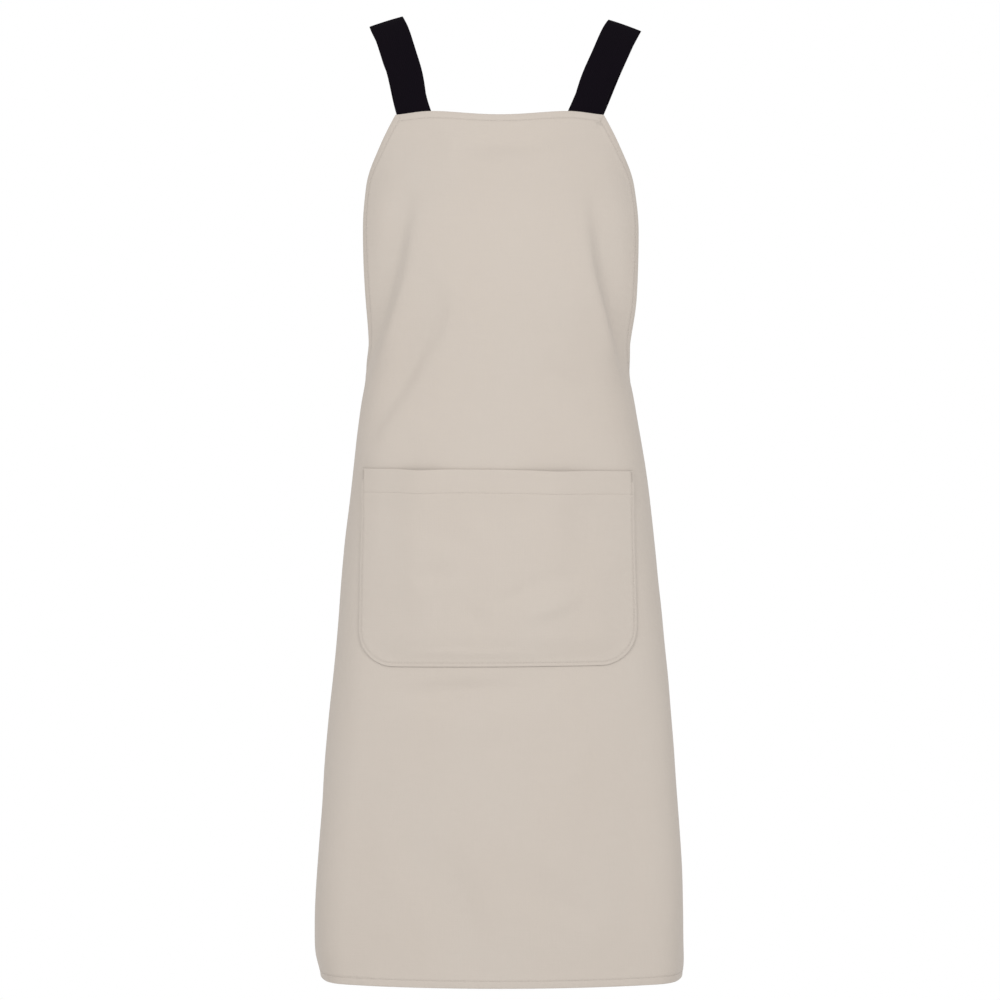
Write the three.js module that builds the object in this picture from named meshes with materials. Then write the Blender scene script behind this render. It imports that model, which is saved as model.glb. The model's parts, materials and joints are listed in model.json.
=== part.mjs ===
// Cross-back work apron of plain cotton, in the shape it has when it is worn.
// Millimetres, +Z up, the front towards -Y. The origin is the middle of the shoulder line,
// where the two straps rest. Left and right are as seen from the front.
//
// The cloth is laid out flat in two lengths, and then wrapped round the body:
//   s  along the cloth sideways from the middle of the front, right is positive
//   t  down from the top edge of the bib

import * as THREE from 'three';

// Cloth and tape
const CLOTH = 1.2; // thickness of the cotton
const TAPE = 1.6; // thickness of the strap tape
const SEAM_GAP = 0.3; // clearance between layers that are sewn together
const HEM = 10; // width of the turned hem round the apron

// The apron laid flat
const APRON_DROP = 893; // top edge of the bib to the bottom hem
const PANEL_WIDTH = 660; // one side edge to the other
const BIB_WIDTH = 226; // top edge of the bib
const ARMHOLE_DEPTH = 290; // top edge of the bib to the back corners

// The apron as worn
const BIB_TOP = 103; // shoulder line down to the top edge of the bib
const BIB_SAG = 6; // dip of the top edge between the straps
const CORNER_SAG = 2; // dip of the top edge at its two corners
const SAG_REACH = 70; // how far down the dip fades out
const WORN_WIDTH = 384; // across the bottom hem
const WORN_DEPTH = 128; // shoulder line forward to the cloth over the chest

// Straps
const STRAP_WIDTH = 37;
const STRAP_TUCK = 28; // length of each end that is sewn under the cloth
const STRAP_SEAM_GAP = 0.9; // clearance between a sewn end and the hem over it
const SHOULDER_OUT = 120; // middle of the body to a strap on the shoulder
const BACK_DEPTH = 88; // shoulder line back to a strap over the shoulder blade
const BODY_ROUND = 400; // radius of the shoulders and back from side to side
const CORNER_INSET = 24; // back corner of the cloth to the middle of a strap
const CROSSING_GAP = 0.6; // clearance between the straps where they cross
const CROSSING_HOLD = 48; // distance from the crossing in which the straps lie apart
const CROSSING_FADE = 111; // distance in which they come back to one surface
const BIB_FADE = 50; // distance in which a strap leaves the curve of the bib
const CORNER_FADE = 24; // distance in which it leaves the curve of the back corner

// Pocket
const POCKET_WIDTH = 294;
const POCKET_SHIFT = -3; // middle of the apron to the middle of the pocket
const POCKET_DEPTH = 200; // mouth to bottom seam
const POCKET_TOP = 370; // top edge of the bib to the mouth
const POCKET_CORNER = 40; // radius of the two bottom corners
const POCKET_HEM = 24; // width of the hem round the mouth
const POCKET_SLACK = 12; // how far the front of the pocket stands off
const POCKET_SEAM_GAP = 0.45; // clearance to the apron along the pocket's seam
const MOUTH_TILT = 3; // the right end of the mouth sits this much lower than the left
const FOOT_TILT = -2; // the same for the bottom seam
const MOUTH_DIP = 3; // dip of the mouth where it gapes
const BULGE_PLACE = -0.52; // middle of the mouth's left bulge, share of half the pocket's width
const BULGES_APART = 0.9; // from there to the right bulge, the same share
const BULGE_LEAST = 0.44; // how far the mouth gapes between the two, share of POCKET_SLACK

const RAD = Math.PI / 180;
const HALF_PANEL = PANEL_WIDTH / 2;
const HALF_BIB = BIB_WIDTH / 2;

// Level sections of the worn cloth, from the top edge to the hem. Each is a wide front arc, a
// tight side arc and a back arc, tangent to each other.
//   down   share of APRON_DROP
//   half   half the width at the side, share of half WORN_WIDTH
//   front  front of the cloth before the shoulder line, share of WORN_DEPTH
//   side   radius of the side arc, share of the half width
//   back   radius of the back arc, share of the half width
//   turn   degrees that the cloth has turned where the front arc ends
//   flank  degrees that it has turned where the side arc ends
//   shift  sideways shift of the section, share of WORN_WIDTH
const SECTIONS = [
  { down: 0.0, half: 0.734, front: 0.66, side: 0.5, back: 0.78, turn: 28, flank: 90, shift: -0.001 },
  { down: 0.067, half: 0.758, front: 0.83, side: 0.5, back: 0.78, turn: 28, flank: 90, shift: 0 },
  { down: 0.14, half: 0.781, front: 0.99, side: 0.5, back: 0.78, turn: 27, flank: 90, shift: 0.002 },
  { down: 0.215, half: 0.769, front: 1.01, side: 0.49, back: 0.78, turn: 26, flank: 90, shift: 0.002 },
  { down: 0.272, half: 0.73, front: 0.99, side: 0.47, back: 0.78, turn: 25, flank: 90, shift: -0.002 },
  { down: 0.3, half: 0.715, front: 0.98, side: 0.46, back: 0.78, turn: 25, flank: 90, shift: -0.005 },
  { down: 0.34, half: 0.742, front: 0.97, side: 0.44, back: 0.78, turn: 24, flank: 90, shift: -0.005 },
  { down: 0.415, half: 0.793, front: 0.97, side: 0.4, back: 0.78, turn: 23, flank: 90, shift: -0.002 },
  { down: 0.56, half: 0.864, front: 0.99, side: 0.37, back: 0.79, turn: 23, flank: 86, shift: 0 },
  { down: 0.785, half: 0.952, front: 1.07, side: 0.29, back: 0.83, turn: 22, flank: 78, shift: 0 },
  { down: 0.94, half: 1.002, front: 1.15, side: 0.22, back: 0.89, turn: 20, flank: 71, shift: -0.002 },
  { down: 1.0, half: 1.003, front: 1.17, side: 0.2, back: 0.9, turn: 20, flank: 70, shift: 0 },
];

// Armhole edge, from the end of the bib's top edge to the back corner.
//   down  share of ARMHOLE_DEPTH
//   out   share of the way out from the bib's top corner to the side edge
const ARMHOLE = [
  { down: 0.0, out: 0.0 },
  { down: 0.12, out: 0.1 },
  { down: 0.26, out: 0.205 },
  { down: 0.41, out: 0.226 },
  { down: 0.66, out: 0.226 },
  { down: 0.82, out: 0.23 },
  { down: 0.9, out: 0.29 },
  { down: 0.955, out: 0.46 },
  { down: 0.985, out: 0.72 },
  { down: 1.0, out: 1.0 },
];

// Folds of the worn cloth: straight or bowed creases that run from one place to another.
//   s0, s1  share of half PANEL_WIDTH
//   t0, t1  share of APRON_DROP
//   bow     sideways bow of the crease, share of WORN_DEPTH
//   depth   outward push, share of WORN_DEPTH
//   left, right  width of its two slopes, seen along the crease, share of WORN_DEPTH
const FOLDS = [
  // from under the bust to the waist, one on each side
  { s0: -0.29, t0: 0.12, s1: -0.49, t1: 0.3, bow: 0.09, depth: -0.05, left: 0.09, right: 0.22 },
  { s0: 0.275, t0: 0.13, s1: 0.45, t1: 0.305, bow: -0.07, depth: -0.055, left: 0.24, right: 0.12 },
  { s0: -0.15, t0: 0.2, s1: -0.45, t1: 0.39, bow: 0.08, depth: -0.018, left: 0.1, right: 0.14 },
  // slack under the bib's top edge
  { s0: -0.16, t0: 0.052, s1: 0.2, t1: 0.035, bow: 0.03, depth: -0.016, left: 0.1, right: 0.12 },
  // pull across the front above the pocket
  { s0: 0.13, t0: 0.3, s1: 0.42, t1: 0.36, bow: 0.05, depth: -0.012, left: 0.1, right: 0.12 },
  // level folds under the pocket
  { s0: -0.38, t0: 0.672, s1: 0.2, t1: 0.655, bow: -0.04, depth: -0.02, left: 0.12, right: 0.12 },
  { s0: -0.42, t0: 0.71, s1: 0.42, t1: 0.7, bow: 0.05, depth: 0.014, left: 0.16, right: 0.16 },
  // long soft folds of the skirt
  { s0: -0.26, t0: 0.83, s1: -0.05, t1: 1.0, bow: 0.06, depth: -0.03, left: 0.2, right: 0.2 },
  { s0: -0.02, t0: 0.87, s1: 0.34, t1: 0.93, bow: 0.05, depth: -0.02, left: 0.12, right: 0.16 },
  { s0: 0.52, t0: 0.5, s1: 0.6, t1: 1.02, bow: 0.0, depth: 0.03, left: 0.22, right: 0.18 },
  { s0: -0.6, t0: 0.62, s1: -0.63, t1: 1.02, bow: 0.0, depth: 0.022, left: 0.2, right: 0.24 },
  { s0: 0.8, t0: 0.42, s1: 0.78, t1: 1.03, bow: 0.03, depth: -0.05, left: 0.24, right: 0.24 },
  { s0: -0.8, t0: 0.42, s1: -0.79, t1: 1.03, bow: -0.03, depth: -0.045, left: 0.24, right: 0.24 },
];

// Side view of a strap over the shoulder, from the bib to the back corner of the cloth.
//   y       front rows share the bib's distance forward, back rows share BACK_DEPTH
//   z       front rows share BIB_TOP, back rows share the drop to the back corner
//   across  way from the middle of the body to the strap, share of SHOULDER_OUT; the straps
//           cross where it is zero
//   lean    share of the strap's own extra way out that is added
const SHOULDER_FRONT = [
  { y: 0.84, z: 0.71, across: 0.8, lean: 0.5 },
  { y: 0.66, z: 0.45, across: 0.865, lean: 0.8 },
  { y: 0.4, z: 0.19, across: 0.935, lean: 0.97 },
  { y: 0.0, z: 0.0, across: 1.0, lean: 1.0 },
];
const SHOULDER_BACK = [
  { y: 0.34, z: 0.035, across: 0.945, lean: 1.0 },
  { y: 0.62, z: 0.11, across: 0.865, lean: 0.75 },
  { y: 0.84, z: 0.215, across: 0.783, lean: 0.0 },
  { y: 0.98, z: 0.41, across: 0.45, lean: 0.0 },
  { y: 0.9, z: 0.68, across: 0.0, lean: 0.0 },
  { y: 0.7, z: 0.85, across: -0.29, lean: 0.0 },
];

// The two straps. The right one sits further out on its shoulder and passes under the other.
//   extra  how much further out, share of the other's distance
const STRAPS = [
  { name: 'left_shoulder_strap', side: -1, extra: 0.0, over: 1 },
  { name: 'right_shoulder_strap', side: 1, extra: 0.1, over: -1 },
];

// How finely each piece is divided
const PANEL_COLUMNS = 34;
const PANEL_ROWS = 40;
const POCKET_COLUMNS = 26;
const HEM_ROWS = 2; // the pocket from its mouth down: the hem, the straight part, the corners
const FLAT_ROWS = 8;
const CORNER_ROWS = 5;
const STRAP_COLUMNS = 3;
const STRAP_ROWS = 44;
const TUCK_ROWS = 3;
const EDGE_BEND = 4; // how late the rows of the apron bend to meet its edge

const clamp = (x, low, high) => Math.min(Math.max(x, low), high);
const mix = (a, b, share) => a + (b - a) * share;
function smooth(low, high, x) {
  const share = clamp((x - low) / (high - low), 0, 1);
  return share * share * (3 - 2 * share);
}

// Value of one column of a table at x, on a smooth curve that never overshoots its rows. Past
// either end it goes on straight.
function along(rows, key, column, x) {
  const last = rows.length - 1;
  const slope = (k) =>
    (rows[k + 1][column] - rows[k][column]) / (rows[k + 1][key] - rows[k][key]);
  if (x <= rows[0][key]) return rows[0][column] + slope(0) * (x - rows[0][key]);
  if (x >= rows[last][key]) return rows[last][column] + slope(last - 1) * (x - rows[last][key]);
  const k = rows.findIndex((row) => row[key] > x) - 1;
  const tangent = (m) => {
    if (m === 0) return slope(0);
    if (m === last) return slope(last - 1);
    const before = slope(m - 1);
    const after = slope(m);
    return before * after <= 0 ? 0 : (2 * before * after) / (before + after);
  };
  const width = rows[k + 1][key] - rows[k][key];
  const u = (x - rows[k][key]) / width;
  return (
    rows[k][column] * (1 + 2 * u) * (1 - u) ** 2 +
    rows[k + 1][column] * u * u * (3 - 2 * u) +
    width * (tangent(k) * u * (1 - u) ** 2 - tangent(k + 1) * u * u * (1 - u))
  );
}

// Outward push of all folds at a place on the cloth
function foldPush(s, t) {
  let push = 0;
  for (const fold of FOLDS) {
    const from = [fold.s0 * HALF_PANEL, fold.t0 * APRON_DROP];
    const run = [fold.s1 * HALF_PANEL - from[0], fold.t1 * APRON_DROP - from[1]];
    const length = Math.hypot(run[0], run[1]);
    const share = ((s - from[0]) * run[0] + (t - from[1]) * run[1]) / length ** 2;
    if (share <= 0 || share >= 1) continue;
    const bow = fold.bow * WORN_DEPTH * 4 * share * (1 - share);
    const off = ((s - from[0]) * run[1] - (t - from[1]) * run[0]) / length - bow;
    const width = (off > 0 ? fold.left : fold.right) * WORN_DEPTH;
    const taper = Math.sin(Math.PI * share);
    push += fold.depth * WORN_DEPTH * taper * Math.exp(-((off / width) ** 2));
  }
  return push;
}

// Dip of the bib's top edge: between the straps, and at the corners outside them
function topSag(reach) {
  const inner = HALF_BIB - STRAP_WIDTH;
  if (reach > inner) return CORNER_SAG * smooth(inner, HALF_BIB, reach);
  return BIB_SAG * (1 - (reach / inner) ** 2) ** 2;
}

// A point of the smooth worn form, with no folds
function formPoint(s, t) {
  const down = t / APRON_DROP;
  const at = (column) => along(SECTIONS, 'down', column, down);
  const half = (at('half') * WORN_WIDTH) / 2;
  const side = at('side') * half;
  const back = at('back') * half;
  const turn = at('turn') * RAD;
  const flank = at('flank') * RAD;
  const sideOut = side * (Math.sin(flank) - Math.sin(turn));
  const wide = (half - sideOut - back * (1 - Math.sin(flank))) / Math.sin(turn);
  const reach = Math.abs(s);
  const sideStart = wide * turn;
  const backStart = sideStart + side * (flank - turn);
  const sideDeep = wide * (1 - Math.cos(turn));
  const backDeep = sideDeep + side * (Math.cos(turn) - Math.cos(flank));
  let x;
  let behind;
  if (reach < sideStart) {
    const angle = reach / wide;
    x = wide * Math.sin(angle);
    behind = wide * (1 - Math.cos(angle));
  } else if (reach < backStart) {
    const angle = turn + (reach - sideStart) / side;
    x = wide * Math.sin(turn) + side * (Math.sin(angle) - Math.sin(turn));
    behind = sideDeep + side * (Math.cos(turn) - Math.cos(angle));
  } else {
    const angle = flank + (reach - backStart) / back;
    x = half - back * (1 - Math.sin(angle));
    behind = backDeep + back * (Math.cos(flank) - Math.cos(angle));
  }
  const sag = topSag(reach) * Math.exp(-Math.max(t, 0) / SAG_REACH);
  return new THREE.Vector3(
    Math.sign(s) * x + at('shift') * WORN_WIDTH,
    behind - at('front') * WORN_DEPTH,
    -(BIB_TOP + t + sag),
  );
}

// The outward direction of a surface, from points a short step apart
const STEP = 0.5;
function facing(surface, a, b) {
  const across = surface(a + STEP, b).sub(surface(a - STEP, b));
  const down = surface(a, b + STEP).sub(surface(a, b - STEP));
  return down.cross(across).normalize();
}

// A point of the apron's outer face, and its outward direction
function clothPoint(s, t) {
  return formPoint(s, t).addScaledVector(facing(formPoint, s, t), foldPush(s, t));
}
const clothFacing = (s, t) => facing(clothPoint, s, t);
const onCloth = (s, t, lift) => clothPoint(s, t).addScaledVector(clothFacing(s, t), lift);

// One closed body between two faces that share a grid. layer(i, j) gives the outer and the
// inner point of a grid place, with j running down and i running to the right.
function shell(columns, rows, layer) {
  const positions = [];
  const index = [];
  const across = columns + 1;
  const place = (side, i, j) => side * across * (rows + 1) + j * across + i;
  const layers = [];
  for (let j = 0; j <= rows; j += 1) {
    for (let i = 0; i <= columns; i += 1) layers.push(layer(i, j));
  }
  for (const side of [0, 1]) {
    for (const pair of layers) positions.push(pair[side].x, pair[side].y, pair[side].z);
  }
  for (let j = 0; j < rows; j += 1) {
    for (let i = 0; i < columns; i += 1) {
      const outer = [place(0, i, j), place(0, i, j + 1), place(0, i + 1, j + 1), place(0, i + 1, j)];
      const inner = [place(1, i, j), place(1, i, j + 1), place(1, i + 1, j + 1), place(1, i + 1, j)];
      index.push(outer[0], outer[1], outer[2], outer[0], outer[2], outer[3]);
      index.push(inner[0], inner[2], inner[1], inner[0], inner[3], inner[2]);
    }
  }
  const rim = [];
  for (let j = 0; j < rows; j += 1) rim.push([0, j]);
  for (let i = 0; i < columns; i += 1) rim.push([i, rows]);
  for (let j = rows; j > 0; j -= 1) rim.push([columns, j]);
  for (let i = columns; i > 0; i -= 1) rim.push([i, 0]);
  rim.forEach(([i, j], k) => {
    const [ni, nj] = rim[(k + 1) % rim.length];
    const a = place(0, i, j);
    const b = place(0, ni, nj);
    const c = place(1, ni, nj);
    const d = place(1, i, j);
    index.push(a, c, b, a, d, c);
  });
  const geometry = new THREE.BufferGeometry();
  geometry.setAttribute('position', new THREE.Float32BufferAttribute(positions, 3));
  geometry.setIndex(index);
  geometry.computeVertexNormals();
  return geometry;
}

// The armhole and side edge of the cloth laid flat, as points with the direction into the cloth,
// for the right side. Along the armhole the rows are as far apart as down the middle.
const FINE = 400;
function edgeLine(rows) {
  const fine = [];
  for (let k = 0; k <= FINE; k += 1) {
    const down = k / FINE;
    const out = along(ARMHOLE, 'down', 'out', down);
    fine.push(new THREE.Vector2(mix(HALF_BIB, HALF_PANEL, out), down * ARMHOLE_DEPTH));
  }
  fine.push(new THREE.Vector2(HALF_PANEL, APRON_DROP));
  const lengths = [0];
  for (let k = 1; k < fine.length; k += 1) {
    lengths.push(lengths[k - 1] + fine[k].distanceTo(fine[k - 1]));
  }
  const total = lengths[lengths.length - 1];
  const corner = lengths[FINE];
  const cornerRow = Math.round((rows * corner) / APRON_DROP);
  const at = (length) => {
    const k = clamp(lengths.findIndex((x) => x >= length), 1, fine.length - 1);
    const share = (length - lengths[k - 1]) / (lengths[k] - lengths[k - 1]);
    return fine[k - 1].clone().lerp(fine[k], share);
  };
  const points = [];
  for (let j = 0; j <= rows; j += 1) {
    const length =
      j <= cornerRow
        ? (corner * j) / cornerRow
        : mix(corner, total, (j - cornerRow) / (rows - cornerRow));
    points.push(at(length));
  }
  const inward = points.map((point, j) => {
    if (j === cornerRow) return new THREE.Vector2(-1, 1);
    if (j > cornerRow) return new THREE.Vector2(-1, 0);
    const run = at(Math.min(lengths[1] + (corner * j) / cornerRow, corner))
      .sub(at(Math.max((corner * j) / cornerRow - lengths[1], 0)))
      .normalize();
    return j === 0 ? new THREE.Vector2(-1, 0) : new THREE.Vector2(-run.y, run.x);
  });
  return { points, inward, cornerRow };
}

const EDGE = edgeLine(PANEL_ROWS);

// Place on the flat cloth of a node of the apron's grid. The outermost cell on each side, and
// the first and last row, are as wide as the hem.
function panelPlace(i, j) {
  const edge = EDGE.points[j];
  if (i === 0 || i === PANEL_COLUMNS) return [i === 0 ? -edge.x : edge.x, edge.y];
  const inner = edge.clone().addScaledVector(EDGE.inward[j], HEM);
  const share = (2 * (i - 1)) / (PANEL_COLUMNS - 2) - 1;
  let middle = (APRON_DROP * j) / PANEL_ROWS;
  if (j === 1) middle = HEM;
  if (j === PANEL_ROWS - 1) middle = APRON_DROP - HEM;
  const level = mix(middle, inner.y, Math.abs(share) ** EDGE_BEND);
  return [share * inner.x, level];
}

function apronPanel() {
  return shell(PANEL_COLUMNS, PANEL_ROWS, (i, j) => {
    const [s, t] = panelPlace(i, j);
    return [onCloth(s, t, 0), onCloth(s, t, -CLOTH)];
  });
}

// A band of turned-in cloth behind part of the apron's grid. Its two ends stop short of the
// bands next to it.
const HEM_OUTER = -CLOTH - SEAM_GAP;
const HEM_INNER = HEM_OUTER - CLOTH;
function hemBand(firstColumn, firstRow, columns, rows) {
  const trim = (k, count) => (count > 1 ? clamp(k, SEAM_GAP / HEM, count - SEAM_GAP / HEM) : k);
  const between = (i, j, lift) => {
    const i0 = Math.min(Math.floor(i), PANEL_COLUMNS - 1);
    const j0 = Math.min(Math.floor(j), PANEL_ROWS - 1);
    const corner = (di, dj) => onCloth(...panelPlace(i0 + di, j0 + dj), lift);
    const top = corner(0, 0).lerp(corner(1, 0), i - i0);
    const low = corner(0, 1).lerp(corner(1, 1), i - i0);
    return top.lerp(low, j - j0);
  };
  return shell(columns, rows, (i, j) => {
    const place = [firstColumn + trim(i, columns), firstRow + trim(j, rows)];
    return [between(...place, HEM_OUTER), between(...place, HEM_INNER)];
  });
}

function pocketPlace(across, down) {
  const halfMouth = POCKET_WIDTH / 2;
  const share = clamp(down / POCKET_DEPTH, 0, 1);
  const tilt = (mix(MOUTH_TILT, FOOT_TILT, share) * across) / POCKET_WIDTH;
  const dip = MOUTH_DIP * gape(across / halfMouth) * (1 - share) ** 2;
  return [across + POCKET_SHIFT, POCKET_TOP + down + tilt + dip];
}

// How far the pocket's mouth gapes from side to side: two soft bulges, closed at the seams
function gape(share) {
  const wave = Math.cos((2 * Math.PI * (share - BULGE_PLACE)) / BULGES_APART);
  return (1 - share ** 4) * mix(BULGE_LEAST, 1, (1 + wave) / 2);
}

// Clearance between the apron and the inner face of the pocket
function pocketLift(across, down) {
  const depth = clamp(down / POCKET_DEPTH, 0, 1);
  const hemLift = (CLOTH + SEAM_GAP) * (1 - smooth(POCKET_HEM, POCKET_HEM * 2, down));
  const bulge = gape(clamp(across / (POCKET_WIDTH / 2), -1, 1)) * (1 - depth ** 2);
  return POCKET_SEAM_GAP + hemLift + POCKET_SLACK * bulge;
}

const onPocket = (across, down, lift) =>
  onCloth(...pocketPlace(across, down), pocketLift(across, down) + lift);

// Place on the pocket laid flat of a node of its grid: the hem of its mouth, then the straight
// part, then the rounded corners, which draw the ends of the rows in
function pocketNode(i, j) {
  const straight = POCKET_DEPTH - POCKET_CORNER;
  let down = POCKET_HEM * (j / HEM_ROWS);
  if (j > HEM_ROWS) down = mix(POCKET_HEM, straight, (j - HEM_ROWS) / FLAT_ROWS);
  const angle = clamp((j - HEM_ROWS - FLAT_ROWS) / CORNER_ROWS, 0, 1) * 90 * RAD;
  if (angle > 0) down = straight + POCKET_CORNER * Math.sin(angle);
  const reach = POCKET_WIDTH / 2 - POCKET_CORNER * (1 - Math.cos(angle));
  return [reach * ((2 * i) / POCKET_COLUMNS - 1), down];
}

function frontPocket() {
  return shell(POCKET_COLUMNS, HEM_ROWS + FLAT_ROWS + CORNER_ROWS, (i, j) => {
    const [across, down] = pocketNode(i, j);
    return [onPocket(across, down, CLOTH), onPocket(across, down, 0)];
  });
}

// The hem of the pocket's mouth, turned in behind its front and shorter by a column at each end
function pocketHem() {
  return shell(POCKET_COLUMNS - 2, HEM_ROWS, (i, j) => {
    const [across, down] = pocketNode(i + 1, clamp(j, SEAM_GAP / POCKET_HEM, HEM_ROWS));
    return [onPocket(across, down, -SEAM_GAP), onPocket(across, down, -SEAM_GAP - CLOTH)];
  });
}

// The body under the straps is round from side to side. At a way across from the middle: how
// far out that is, and how far below the shoulder's side view.
const SHOULDER_ARC = BODY_ROUND * Math.asin(SHOULDER_OUT / BODY_ROUND);
const outAt = (across) => BODY_ROUND * Math.sin(across / BODY_ROUND);
const dropAt = (across) =>
  BODY_ROUND * (Math.cos(SHOULDER_ARC / BODY_ROUND) - Math.cos(across / BODY_ROUND));
const acrossAt = (out) => BODY_ROUND * Math.asin(out / BODY_ROUND);

// The way of one strap. Laid flat, a strap runs along "run" with "across" to the side: run is
// zero at the bib's top edge and ends at the back corner of the cloth.
const STEPS_PER_ROW = 100;
function strapWay({ side, extra, over }) {
  const clothLift = HEM_INNER - STRAP_SEAM_GAP;
  const start = HALF_BIB - STRAP_WIDTH / 2;
  const end = HALF_PANEL - CORNER_INSET;
  const bibEdge = onCloth(side * start, 0, clothLift);
  const cornerEdge = onCloth(-side * end, ARMHOLE_DEPTH, clothLift);
  const firstAcross = acrossAt(side * bibEdge.x);
  const lastAcross = acrossAt(side * cornerEdge.x);
  const first = { y: bibEdge.y - dropAt(firstAcross), z: bibEdge.z, across: firstAcross };
  const last = { y: cornerEdge.y + dropAt(lastAcross), z: cornerEdge.z, across: lastAcross };
  const placeAcross = (row) => row.across * SHOULDER_ARC * (1 + extra * row.lean);
  const rows = [
    first,
    ...SHOULDER_FRONT.map((row) => ({
      y: row.y * first.y,
      z: -row.z * BIB_TOP,
      across: placeAcross(row),
    })),
    ...SHOULDER_BACK.map((row) => ({
      y: row.y * BACK_DEPTH,
      z: row.z * last.z,
      across: placeAcross(row),
    })),
    last,
  ];
  const profile = new THREE.CatmullRomCurve3(
    rows.map((row) => new THREE.Vector3(0, row.y, row.z)),
    false,
    'centripetal',
  );
  profile.arcLengthDivisions = STEPS_PER_ROW * (rows.length - 1);
  const lengths = profile.getLengths();
  rows.forEach((row, k) => {
    row.run = lengths[STEPS_PER_ROW * k];
  });
  return {
    side,
    over,
    start,
    end,
    clothLift,
    rows,
    profile,
    length: profile.getLength(),
    crossing: rows.find((row) => row.across === 0).run,
    middle: (run) => along(rows, 'run', 'across', run),
  };
}

// A point of a strap's outer face. In a short distance it leaves the curve of the cloth.
function strapPoint(way, across, run) {
  const { side } = way;
  const first = way.rows[0].across;
  const last = way.rows[way.rows.length - 1].across;
  const front = () => onCloth(side * (way.start + across - first), -run, way.clothLift);
  const back = () =>
    onCloth(-side * (way.end + across - last), ARMHOLE_DEPTH + run - way.length, way.clothLift);
  if (run <= 0) return front();
  if (run >= way.length) return back();
  const point = way.profile.getPointAt(run / way.length);
  const tangent = way.profile.getTangentAt(run / way.length);
  const outward = new THREE.Vector3(0, -tangent.z, tangent.y);
  point.addScaledVector(outward, -dropAt(across));
  point.x = side * outAt(across);
  point.lerp(front(), 1 - smooth(HEM, HEM + BIB_FADE, run));
  return point.lerp(back(), 1 - smooth(HEM, HEM + CORNER_FADE, way.length - run));
}

function shoulderStrap(strap) {
  const way = strapWay(strap);
  const surface = (across, run) => strapPoint(way, across, run);
  const runs = [];
  for (let k = TUCK_ROWS; k > 0; k -= 1) runs.push((-STRAP_TUCK * k) / TUCK_ROWS);
  for (let k = 0; k <= STRAP_ROWS; k += 1) runs.push((way.length * k) / STRAP_ROWS);
  for (let k = 1; k <= TUCK_ROWS; k += 1) runs.push(way.length + (STRAP_TUCK * k) / TUCK_ROWS);
  const lift = ((TAPE + CROSSING_GAP) / 2) * way.over;
  return shell(STRAP_COLUMNS, runs.length - 1, (i, j) => {
    const run = runs[j];
    const slope = (way.middle(run + 1) - way.middle(run - 1)) / 2;
    const flat = Math.hypot(1, slope);
    const offset = STRAP_WIDTH * (0.5 - i / STRAP_COLUMNS) * way.side;
    const place = [way.middle(run) + offset / flat, run - (offset * slope) / flat];
    const normal = facing(surface, ...place).multiplyScalar(-way.side);
    const apart = Math.hypot(place[0], place[1] - way.crossing);
    const share = 1 - smooth(CROSSING_HOLD, CROSSING_FADE, apart);
    const outer = surface(...place).addScaledVector(normal, lift * share);
    return [outer, outer.clone().addScaledVector(normal, -TAPE)];
  });
}

const cotton = new THREE.MeshStandardMaterial({ color: '#cfc4b9', roughness: 0.92, metalness: 0 });
const turned = new THREE.MeshStandardMaterial({ color: '#c6bbaf', roughness: 0.94, metalness: 0 });
const tape = new THREE.MeshStandardMaterial({ color: '#141216', roughness: 0.86, metalness: 0 });

function add(group, name, geometry, material) {
  const mesh = new THREE.Mesh(geometry, material);
  mesh.name = name;
  group.add(mesh);
}

const apron = new THREE.Group();
const innerColumn = PANEL_COLUMNS - 1;
const sideRows = PANEL_ROWS - EDGE.cornerRow;
add(apron, 'apron_panel', apronPanel(), cotton);
add(apron, 'bib_top_hem', hemBand(1, 0, PANEL_COLUMNS - 2, 1), turned);
add(apron, 'left_armhole_hem', hemBand(0, 0, 1, EDGE.cornerRow), turned);
add(apron, 'right_armhole_hem', hemBand(innerColumn, 0, 1, EDGE.cornerRow), turned);
add(apron, 'left_side_hem', hemBand(0, EDGE.cornerRow, 1, sideRows), turned);
add(apron, 'right_side_hem', hemBand(innerColumn, EDGE.cornerRow, 1, sideRows), turned);
add(apron, 'bottom_hem', hemBand(1, PANEL_ROWS - 1, PANEL_COLUMNS - 2, 1), turned);
add(apron, 'front_pocket', frontPocket(), cotton);
add(apron, 'pocket_mouth_hem', pocketHem(), turned);
for (const strap of STRAPS) add(apron, strap.name, shoulderStrap(strap), tape);

export default apron;
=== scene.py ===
"""Looks of a cross-back cotton apron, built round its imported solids.

Lengths in this file are millimetres until a mesh is made, which is in metres. The cloth is laid
out flat in two lengths and wrapped into its worn form, as in the solids:
    s  along the cloth sideways from the middle of the front, right is positive
    t  down from the top edge of the bib
"""

import json
import math

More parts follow.
